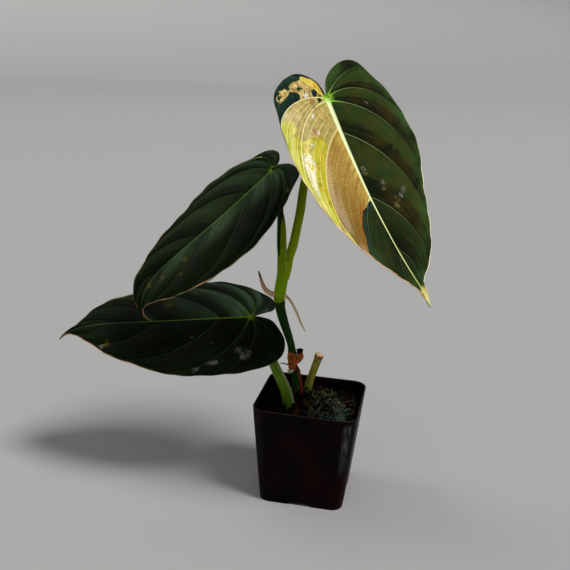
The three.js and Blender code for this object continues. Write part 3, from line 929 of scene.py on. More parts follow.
class BladeFinish(Finish):
    """Velvet skin of a blade, painted over the values that its mesh keeps."""

    def __init__(self, look: BladeLook) -> None:
        """Reads the mesh's values and makes the noises, lines and distances that the colours are made of.

        Args:
            look: Colours and strengths of this blade.
        """
        super().__init__(look.name)
        self.look = look
        self.flat = self.vector("flat")
        names = ("phase", "gap", "run", "along", "rib", "edge")
        self.phase, gap, self.run, self.along, self.rib, self.edge = (self.value(name) for name in names)
        self.across = self.part(self.flat, "Y")
        self.share = self.along / look.length
        self.reach = self.math("SQRT", self.rib * self.rib + self.along * self.along)
        self.panel = self.math("FRACT", self.phase)
        self.coarse = self.noise(self.flat, 14)
        self.middling = self.noise(self.flat, 3.2, 3, 0.6)
        self.fine = self.noise(self.flat, 0.55, 2, 0.6)
        self.mottle = self.middling + self.fine - 1
        self.fray = (self.middling * 2 + self.fine - 1.5) * 1.6
        strand = self.node("CombineXYZ", 0, {0: self.phase * 0.02, 1: self.run * 0.004})
        self.streak = self.noise(strand, 1.0, 3, 0.6)
        width = self.run.rise(0, 1, 0.28, 0.12) + self.reach.rise(3, 12, 0.12, 0)
        to_vein = self.math("PINGPONG", self.phase, 0.5) * gap
        self.vein = to_vein.rise(width * 0.35, width * 1.6, 1, 0) * self.phase.rise(6.6, 6.9, 1, 0)
        to_thread = self.math("PINGPONG", self.phase * 4, 0.5) * gap * 0.25
        self.thread = to_thread.rise(0.05, 0.3, 1, 0)
        width = self.share.rise(-0.15, 0.7, look.rib_width, look.rib_width * 0.24)
        self.midrib = self.rib.rise(width * 0.7, width * 1.25, 1, 0)

    def spots(self, name: str, ragged: Field, low: float, high: float, inner: float = 0.3) -> Field:
        """One in a ragged spot round each mark of this name."""
        mark = self.value(name)
        return (mark + ragged).rise(low, high) * mark.rise(0.02, inner)

    def build(self) -> bpy.types.Material:
        """Paints the marks, the midrib, the rim, the tip and the lower face over the skin.

        Returns:
            The finished material.
        """
        look = self.look
        skin, rough = self.velvet(), look.roughness
        if look.variegated:
            skin, rough = self.variegated(skin)
        scab = self.spots("pale_mark", self.mottle * 2.2, 0.3, 0.55)
        scab = scab * self.cells(self.flat, 0.85).rise(0.65, 0.25, 0.2, 1)
        rusty = self.spots("gold_mark", self.mottle * 2.4, 0.35, 0.6) * look.gold_strength
        midrib = self.paint(look.hub, (
            self.share.rise(0, 0.03),
            self.paint(look.midrib, (self.share.rise(0.35, 0.75), look.far_midrib))))
        tip_from = look.length - look.tip_length
        tip = (self.along + self.middling * 5 + self.rib * -0.6).rise(tip_from + 1, tip_from + 4)
        tip_tone = self.paint(
            look.far_midrib, (self.rib.rise(0.3, 1.6) * self.middling.rise(0.35, 0.6), look.tip))
        skin = self.paint(
            skin,
            (scab * look.pale_strength, look.pale),
            (rusty, look.gold),
            (self.reach.rise(0.8, look.hub_reach, 1, 0) * 0.85, look.hub),
            (self.midrib, midrib),
            self.rim(),
            (tip, tip_tone),
            (self.value("under").rise(0.5, 0.9), self.under_face()),
        )
        grain = self.fine * 0.6 + self.noise(self.flat, 0.28, 1) * 0.4 + self.streak * 0.8
        return self.dress(
            Base_Color=skin, Roughness=rough, Normal=self.bump(grain, 0.14, 0.6),
            Specular_IOR_Level=look.shine, Specular_Tint=look.shine_tint,
            Sheen_Weight=0.015, Sheen_Roughness=0.45, Sheen_Tint=tone(150, 190, 160),
        )

    def rim(self) -> tuple[Field, Value]:
        """Cover and colour of the thin rim, dull near the hub, pale from the middle on and pinkish down
        the pale half.

        Returns:
            Cover, 0 to 1, and colour.
        """
        look = self.look
        late = (self.share + (self.coarse - 0.5) * 0.5).rise(look.rim_from, look.rim_from + 0.25)
        border = self.paint(look.margin, (late, look.far_margin))
        if look.variegated:
            pale_half = self.across.rise(1, -1)
            border = self.paint(
                border,
                (pale_half * self.share.rise(0.15, 0.3), tone(214, 180, 140)),
                (pale_half * self.phase.rise(1.9, 2.1, 1, 0), tone(44, 56, 24)))
        width = self.share.rise(0.2, 0.6, 0.6, 1) * self.middling.rise(0.3, 0.7, 0.8, 1.2) * look.rim_width
        return self.edge.rise(width * 0.5, width * 1.3, 1, 0) * self.reach.rise(3, 6), border

    def velvet(self) -> Value:
        """Dark skin: each panel is green beside the vein behind it, then near black, a painted light and
        shade of its quilting over random tone, with rust before the next vein, and turns cooler towards the
        margin. The left half is the nearer one: painted shade darkens it away from the midrib, and a painted
        sheen lies on the ridges beside its midrib and over the far half.

        Returns:
            Colour over the blade.
        """
        look, panel, coarse, run, share = self.look, self.panel, self.coarse, self.run, self.share
        near = self.across.rise(-0.5, 0.5)
        far = 1 - near
        # Painted shade over the nearer half, away from the midrib and the lobe.
        painted_lit = 1 - near * self.rib.rise(6, 17) * share.rise(-0.1, 0.12) * look.near_painted_shade
        # Painted light and shade of the quilting: green beside the vein behind each panel, near black towards
        # the next, over random tone.
        painted_light_and_tone = (panel.rise(0.0, 0.12, 0.3, 0.75) * panel.rise(look.dark_from, 0.8, 1, 0)
                  + (coarse - 0.5) * 1.1 + self.mottle * look.grainy)
        painted_light_and_tone = painted_light_and_tone.rise(-0.05, 0.75) * self.phase.rise(4.7, 5.3, 1, 0.4) * painted_lit
        fresh = self.paint(look.fresh, (self.noise(self.flat, 11).rise(0.35, 0.65), look.olive))
        rust = (panel.rise(0.4, 0.8) * panel.rise(0.9, 1.0, 1.0, 0.2) * coarse.rise(0.3, 0.7)
                * run.rise(0.05, 0.3) * run.rise(0.75, 0.98, 1, 0.2) * self.phase.rise(5, 5.2, 1, 0.3))
        # Painted sheen: along the ridges, beside the midrib on the nearer half and over the far half.
        painted_sheen_crest = panel.rise(0.1, 0.35, 0.35, 1) if look.near_painted_sheen else panel.rise(0.2, 0.7, 1, 0.3)
        painted_sheen_crest = painted_sheen_crest * panel.rise(0.5, 0.9, 1, 0.3) * self.streak.rise(0.3, 0.7, 0.5, 1.2)
        beside = self.rib.rise(3, 17, 1, 0) + share.rise(0.1, -0.04, 0, 0.5)
        painted_sheen = (near * beside * share.rise(0.05, 0.9, 1, 0.25) * look.near_painted_sheen
                + far * share.rise(-0.05, 0.3, 1, 0.2) * share.rise(0.3, 0.6, 1, 0) * look.far_painted_sheen)
        cool = self.edge.rise(1, 11, 1, 0) * coarse.rise(0.3, 0.7) * painted_lit * 0.7
        strength = far * share.rise(0, 0.3, 1, 0) * look.far_vein + look.vein_strength
        fade = run.rise(0.05, 0.8, 1.0, 0.2) * self.phase.rise(4.6, 5.4, 1, 0.3) * strength
        return self.paint(
            look.deep,
            # Painted light of the quilting, over random tone.
            (painted_light_and_tone, fresh),
            (rust * look.rust_strength, look.rust),
            # Painted sheen on the ridges.
            (painted_sheen * painted_sheen_crest, look.painted_sheen),
            (cool, look.cool),
            (self.streak.rise(0.5, 0.75) * 0.08, look.vein),
            (self.thread * run.rise(0.1, 0.3) * 0.05, look.vein),
            (self.vein * fade, self.paint(look.vein, (self.reach.rise(3, 13, 1, 0), look.hub))),
        )

    def variegated(self, skin: Value) -> tuple[Value, Field]:
        """Skin and roughness of the variegated blade: its pale half ends in a frayed line, past which the
        green is first near black and then bluish, and a glossy patch on the lime carries a painted white
        glare.

        Args:
            skin: Dark skin for the green parts.

        Returns:
            Colour and roughness.
        """
        distal = self.value("distal")
        green = distal.rise(-0.3, 0.3)
        # The glossy patch lowers the roughness and also carries a painted white glare.
        gloss = self.value("gloss").rise(-0.7, 0.4) * self.middling.rise(0.36, 0.46)
        distal = distal + self.fray * 0.6
        pale_half, past_rib = self.across.rise(1, -1), self.rib.rise(1, 3)
        band = pale_half * distal.rise(1.2, 4.2, 1, 0) * distal.rise(0.4, 1.1) * 0.75
        green_skin = self.paint(
            skin,
            (band * past_rib, tone(40, 70, 64)),
            (pale_half * distal.rise(0.2, 0.8, 1, 0) * past_rib * 0.8, tone(10, 22, 20)))
        skin = self.paint(
            self.pale_half(), (distal.rise(-0.15, 0.15), green_skin),
            # Painted white glare on the glossy patch.
            (gloss * self.fine.rise(0.38, 0.5) * 0.8, tone(234, 226, 200)))
        matt = self.math("MAXIMUM", green, self.phase.rise(1.97, 2.03, 0.7, 0))
        return skin, matt * (self.look.roughness - 0.34) + 0.34 + gloss * -0.18

    def pale_half(self) -> Value:
        """Pale half: tan between cream veins, lime down the margin, brown and speckled beside the midrib,
        and a dark lobe netted with gold. The edges between them are frayed.

        Returns:
            Colour over the blade.
        """
        flat, streak, fine, middling, rib = self.flat, self.streak, self.fine, self.middling, self.rib
        cream = tone(240, 234, 176)
        tan = self.paint(
            tone(168, 150, 88),
            (middling.rise(0.35, 0.65), tone(204, 184, 120)),
            (streak.rise(0.45, 0.7) * 0.75, tone(140, 138, 66)),
            (self.noise(flat, 6).rise(0.5, 0.65) * 0.25, tone(204, 158, 104)),
            (fine.rise(0.52, 0.64) * 0.35, tone(120, 104, 50)))
        golden = self.noise(flat, 3, 3).rise(0.48, 0.6) * self.phase.rise(3, 3.1, 0.5, 1)
        lime = self.paint(
            tone(168, 166, 30),
            (streak.rise(0.35, 0.65), tone(206, 200, 84)),
            (self.noise(flat, 4.5, 3).rise(0.48, 0.62) * 0.8, tone(146, 144, 32)),
            (golden * 0.6, tone(218, 184, 58)),
            (self.edge.rise(1.5, 5, 1, 0) * 0.6, tone(196, 204, 70)))
        near_dark = self.value("distal").rise(-4.0, -0.8) * middling.rise(0.45, 0.62) * rib.rise(2, 10)
        speckle = self.noise(flat, 0.7, 3, 0.75).rise(0.5, 0.58)
        brown = self.paint(
            tone(160, 132, 66),
            (streak.rise(0.35, 0.7), tone(190, 160, 94)),
            (self.noise(flat, 9).rise(0.45, 0.65) * 0.4, tone(190, 160, 84)),
            (self.along.rise(42, 88) * rib.rise(6, 20) * 0.75, tone(112, 84, 18)),
            (speckle * rib.rise(3, 14, 0.3, 0.75), tone(96, 64, 18)),
            (near_dark * 0.55, tone(176, 96, 36)),
            (rib.rise(2, 9, 1, 0) * streak.rise(0.4, 0.6) * 0.7, tone(214, 190, 96)),
            (self.thread * rib.rise(4, 12, 1, 0.2) * 0.35, cream))
        burnt = self.paint(tone(112, 66, 32), (fine.rise(0.4, 0.6), tone(196, 132, 78)))
        return self.paint(
            tan,
            ((self.value("lime") + self.fray * 1.3).rise(-0.5, 0.5), lime),
            (self.thread * self.run.rise(0.06, 0.18) * 0.6, cream),
            (self.phase.rise(3.98, 4.02), brown),
            (self.spots("gold_mark", self.mottle * 2.4, 0.3, 0.6) * 0.85, burnt),
            (self.hole(), tone(24, 50, 26)),
            (self.phase.rise(1.97, 2.03, 1, 0), self.lobe()),
            (self.vein * self.phase.rise(1.5, 1.9, 0.1, 0.95), cream),
            (self.spots("pale_mark", self.mottle * 2.0, 0.3, 0.5), tone(252, 246, 232)))

    def hole(self) -> Field:
        """One in a frayed spot round each dark mark."""
        return self.spots("dark_mark", self.fray * 0.5, 0.1, 0.3, 0.2)

    def lobe(self) -> Value:
        """Lobe of the pale half: a gold net with a yellow band inside its back edge, on dark green.

        Returns:
            Colour over the blade.
        """
        flat, middling = self.flat, self.middling
        net = (self.cells(flat, 2.8) - 0.34) * 2.4 + (self.noise(flat, 2.2, 3, 0.65) - 0.5) * 7
        band = (self.value("lobe_gold") + self.fray * 0.8).rise(-0.6, 0.4)
        shown = (net + self.value("lobe_inner").rise(-1.2, 1.0, -3, 0.8) + band * 1.8
                 + (self.value("tongue") + self.fray).rise(-0.4, 0.4, 0, -6)
                 + self.hole() * -6 + self.edge.rise(0.8, 1.6, -4, 0))
        gold = self.paint(
            tone(178, 150, 82),
            (middling.rise(0.35, 0.65), tone(230, 208, 144)),
            (self.noise(flat, 1.6, 3).rise(0.5, 0.6) * 0.75, tone(122, 92, 48)),
            (band * self.noise(flat, 1.4).rise(0.4, 0.6, 0.95, 0.5), tone(226, 208, 84)),
            (band * self.noise(flat, 2.6).rise(0.55, 0.62) * 0.7, tone(216, 150, 60)))
        dark = self.paint(tone(16, 42, 32), (middling.rise(0.4, 0.7), tone(32, 68, 54)))
        return self.paint(dark, (shown.rise(-0.5, 0.1), tone(84, 88, 42)), (shown.rise(-0.05, 0.35), gold))

    def under_face(self) -> Value:
        """Paler, matt lower face with raised veins.

        Returns:
            Colour over the blade.
        """
        look = self.look
        below = self.paint(look.under, (self.coarse.rise(0.3, 0.7) * 0.14, look.under_vein))
        if look.variegated:
            distal = self.value("distal")
            lobe = self.phase.rise(1.97, 2.03, 1, 0) * distal.rise(0.3, -0.3)
            below = self.paint(
                tone(168, 158, 88), (distal.rise(-0.3, 0.3), look.under),
                (lobe * self.middling.rise(0.45, 0.6), look.under))
        veins = self.math("MAXIMUM", self.vein * 0.8, self.midrib)
        return self.paint(below, (veins, look.under_vein), (self.thread * 0.3, look.under_vein))


VARIEGATED_LOOK = BladeLook(
    name="variegated_velvet",
    deep=tone(26, 34, 14),
    fresh=tone(48, 66, 30),
    olive=tone(62, 66, 24),
    rust=tone(74, 58, 16),
    cool=tone(56, 94, 52),
    painted_sheen=tone(60, 86, 44),
    vein=tone(130, 150, 98),
    midrib=tone(234, 244, 196),
    far_midrib=tone(226, 230, 160),
    hub=tone(168, 224, 84),
    margin=tone(96, 104, 66),
    far_margin=tone(238, 226, 200),
    tip=tone(190, 140, 66),
    under=tone(92, 106, 56),
    under_vein=tone(170, 170, 106),
    length=VARIEGATED_LEAF.length,
    tip_length=12,
    vein_strength=0.75,
    rust_strength=0.6,
    rib_width=1.65,
    rim_width=0.55,
    dark_from=0.4,
    rim_from=0.12,
    grainy=0.9,
    hub_reach=5.0,
    roughness=0.86,
    shine_tint=(1, 1, 1, 1),
    gold=tone(146, 132, 84),
    gold_strength=0.55,
    pale_strength=0.75,
    variegated=True,
)

MIDDLE_LOOK = BladeLook(
    name="middle_velvet",
    deep=tone(8, 12, 3),
    fresh=tone(30, 48, 16),
    olive=tone(42, 48, 16),
    rust=tone(36, 30, 6),
    cool=tone(14, 36, 20),
    painted_sheen=tone(84, 110, 80),
    vein=tone(84, 108, 66),
    midrib=tone(104, 128, 56),
    far_midrib=tone(84, 110, 66),
    hub=tone(116, 146, 40),
    margin=tone(74, 84, 36),
    far_margin=tone(170, 132, 104),
    tip=tone(130, 100, 70),
    under=tone(70, 80, 42),
    under_vein=tone(128, 136, 78),
    length=MIDDLE_LEAF.length,
    tip_length=5,
    vein_strength=0.36,
    rust_strength=0.5,
    rib_width=0.62,
    rim_width=0.4,
    near_painted_shade=0.85,
    near_painted_sheen=0.75,
    far_painted_sheen=0.5,
    grainy=0.8,
    shine=0.13,
)

LOWER_LOOK = replace(
    MIDDLE_LOOK,
    name="lower_velvet",
    deep=tone(3, 6, 2),
    fresh=tone(17, 32, 11),
    olive=tone(28, 34, 8),
    rust=tone(26, 22, 5),
    cool=tone(10, 30, 18),
    painted_sheen=tone(112, 144, 112),
    midrib=tone(112, 142, 44),
    far_midrib=tone(92, 114, 74),
    length=LOWER_LEAF.length,
    near_painted_shade=0.75,
    near_painted_sheen=0.0,
    far_painted_sheen=1.0,
    far_vein=0.6,
)


# Stems, petioles and roots

def smooth_path(stations: np.ndarray, count: int) -> np.ndarray:
    """Centripetal Catmull-Rom curve through stations (x, y, z, radius): cubics between neighbours, with
    knots spaced by the square root of their distance and the end points mirrored outwards.

    Args:
        stations: Rows of x, y, z and radius.
        count: How many points to make.

    Returns:
        Rows of x, y, z and radius along the curve.
    """
    row = np.vstack([2 * stations[0] - stations[1], stations, 2 * stations[-1] - stations[-2]])
    space = np.sqrt(np.linalg.norm(np.diff(row[:, :3], axis=0), axis=1))[:, None]
    place = np.linspace(0, len(stations) - 1, count)
    before = np.minimum(place.astype(int), len(stations) - 2)
    p0, p1, p2, p3 = (row[before + k] for k in range(4))
    d0, d1, d2 = (space[before + k] for k in range(3))
    leave = ((p1 - p0) / d0 - (p2 - p0) / (d0 + d1) + (p2 - p1) / d1) * d1
    arrive = ((p2 - p1) / d1 - (p3 - p1) / (d1 + d2) + (p3 - p2) / d2) * d1
    return cubic(p1, p2, leave, arrive, (place - before)[:, None])


@dataclass(frozen=True)
class Relief:
    """What stands out of a stalk's round section.

    rings are (distance from the root end, height, half width), ribs run lengthwise, and bark is lumps of
    a size and height. Where bark has a zone, it lies between two distances, with soft ends.
    """

    rings: tuple[Place, ...] = ()
    ribs: int = 0
    rib: float = 0.0
    sway: float = 0.05
    bark_size: float = 1.0
    bark: float = 0.0
    seed: int = 0
    zone: tuple[float, float] | None = None
    zone_end: float = 1.25

    def height(self, reach: np.ndarray, turn: np.ndarray) -> np.ndarray:
        """Sum of a slow sway, the ribs' cosines, the rings' bells and the bark, which is lattice noise
        read on a circle, so that it closes round the stalk.

        Args:
            reach: Distances from the root end.
            turn: Angles round the stalk.

        Returns:
            Millimetres over the round section.
        """
        total = self.sway * np.sin(3 * turn + reach / 5) + self.rib * np.cos(self.ribs * turn)
        for at, tall, half in self.rings:
            total = total + tall * bell(reach - at - 0.35 * np.sin(turn * 2 + at), half)
        if self.bark:
            x, y = reach + 4 * np.cos(turn), 4 * np.sin(turn) + 0.7 * reach
            bark = self.bark * (lattice_noise(x, y, self.bark_size, self.seed)
                                + 0.5 * lattice_noise(x, y, self.bark_size / 2.3, self.seed + 1))
            if self.zone:
                start, end = self.zone
                bark = bark * step_at(reach, start, self.zone_end) * (1 - step_at(reach, end, self.zone_end))
            total = total + bark
        return total


def root_bark(size: float, height: float, seed: int) -> Relief:
    """Relief of a stalk that has bark alone."""
    return Relief(sway=0, bark_size=size, bark=height, seed=seed)


@dataclass(frozen=True)
class StalkSkin:
    """Skin of a stalk: a low and a high tone along its length, streaks, and what else it has.

    band is bark between two heights, wing a paler edge on its broad side, crown the tone of its far end,
    and cut and pith the rind and the middle of a cut face.
    """

    name: str
    low: Tone
    high: Tone
    streak: Tone
    length: float
    roughness: float
    streak_strength: float
    fade_from: float = 0.0
    band: Tone | None = None
    band_from: float = 0.0
    band_to: float = 0.0
    wing: Tone | None = None
    wing_from: float = 0.7
    crown: Tone | None = None
    crown_length: float = 6.0
    cut: Tone | None = None
    pith: Tone | None = None
    cut_length: float = 1.0
    bump: float = 0.12

    def material(self) -> bpy.types.Material:
        """Builds the finish.

        Returns:
            The finished material.
        """
        f = Finish(self.name)
        lines = f.noise(f.vector("grain"), 0.7, 3, 0.65)
        blotch = f.noise(f.place, 4)
        ragged = blotch - 0.5
        along, left = f.value("reach") + ragged * 12, f.value("left")
        skin = f.paint(
            self.low, (along.rise(self.fade_from, self.length), self.high),
            (lines.rise(0.42, 0.68) * self.streak_strength, self.streak))
        height = lines * 0.8 + f.noise(f.place, 0.5, 2, 0.6) * 0.3
        rough = blotch.rise(0.3, 0.7, self.roughness - 0.06, self.roughness + 0.08)
        if self.crown:
            end = (left + (lines - 0.5) * 4).rise(self.crown_length * 0.2, self.crown_length, 1, 0)
            skin = f.paint(skin, (end, self.crown))
        if self.band:
            level = f.height + ragged * 3
            wood = (level.rise(self.band_from - 0.4, self.band_from + 0.4)
                    * level.rise(self.band_to - 0.4, self.band_to + 0.4, 1, 0))
            crust = f.noise(f.place, 1.1, 4, 0.7).rise(0.42, 0.66)
            skin = f.paint(skin, (wood, f.paint(self.band, (crust, tone(86, 44, 22)))))
            rough = rough + wood * 0.35
            height = height + wood * f.noise(f.place, 0.8, 4, 0.7) * 2.5
        if self.wing:
            edge = (f.value("side") + (lines - 0.5) * 0.5).rise(self.wing_from, 1.0)
            skin = f.paint(skin, (edge * 0.85, self.wing))
        if self.cut:
            torn = (left + ragged * 2).rise(self.cut_length * 0.6, self.cut_length, 1, 0)
            rind = f.paint(self.cut, (lines.rise(0.47, 0.56), self.pith))
            skin = f.paint(skin, (torn, f.paint(self.pith, (f.value("core").rise(0.55, 0.85), rind))))
            rough = rough + torn * 0.3
        return f.dress(Base_Color=skin, Roughness=rough, Normal=f.bump(height, self.bump, 0.7),
                       Specular_IOR_Level=0.13)


@dataclass(frozen=True)
class Stalk:
    """A stem, petiole or root: a tapered tube through stations (x, y, z, radius), closed at both ends.

    flat thins its section across the X direction, and dome is the height of its rounded end as a share
    of the radius. start and end square its ends to a direction.
    """

    piece: str
    node: str
    slot: str
    stations: tuple[tuple[float, float, float, float], ...]
    rings: int
    sides: int
    relief: Relief
    skin: StalkSkin
    flat: float = 1.0
    dome: float = 0.3
    start: Place | None = None
    end: Place | None = None
    cap_rings: int = 6

    def shell(self) -> Shell:
        """Rings round the path at across cos a + side sin a times the radius plus the relief, and caps
        whose rings shrink as cos b while they move out as dome sin b.

        Returns:
            Closed surface with its values.
        """
        path = smooth_path(np.array(self.stations, float), self.rings)
        centre, radius = path[:, :3], path[:, 3]
        ahead = unit(np.gradient(centre, axis=0))
        for index, direction in ((0, self.start), (-1, self.end)):
            if direction is not None:
                ahead[index] = unit(np.array(direction, float))
        across = np.empty_like(ahead)
        carried = np.array([1.0, 0, 0])
        for index, direction in enumerate(ahead):
            carried = unit(carried - carried @ direction * direction)
            across[index] = carried
        side = np.cross(ahead, across)
        reach = running_length(centre)
        turn = np.linspace(0, 2 * np.pi, self.sides, endpoint=False)[None, :]
        size = radius[:, None] + self.relief.height(reach[:, None], turn)
        bend = np.linspace(0, np.pi / 2, self.cap_rings + 1)[1:]
        rows = np.pad(np.arange(self.rings), self.cap_rings, mode="edge")
        scales = np.concatenate([np.cos(bend[::-1]), np.ones(self.rings), np.cos(bend)])
        shifts = np.concatenate([-np.sin(bend[::-1]), np.zeros(self.rings), np.sin(bend)])
        shifts = shifts * self.dome * radius[rows]
        middle = centre[rows] + ahead[rows] * shifts[:, None]
        size = size[rows] * scales[:, None]
        wide, tall = size * np.cos(turn), size * np.sin(turn)
        points = (middle[:, None] + across[rows][:, None] * wide[..., None]
                  + side[rows][:, None] * (size * self.flat * np.sin(turn))[..., None])
        far = np.broadcast_to((reach[rows] + shifts)[:, None], size.shape)
        values = {
            "reach": far,
            "left": reach[-1] - far,
            "core": size / np.maximum(radius[rows], 1e-6)[:, None],
            "side": np.broadcast_to(np.cos(turn), size.shape),
            "grain": np.stack([wide, tall, far * 0.15], -1) * MM,
        }
        return tube(points, **values)


UP = (0, 0, 1)
VARIEGATED_SEAT, VARIEGATED_END = VARIEGATED_LEAF.seat(1.6)
MIDDLE_SEAT, MIDDLE_END = MIDDLE_LEAF.seat(1.4)
LOWER_SEAT, LOWER_END = LOWER_LEAF.seat(1.5)

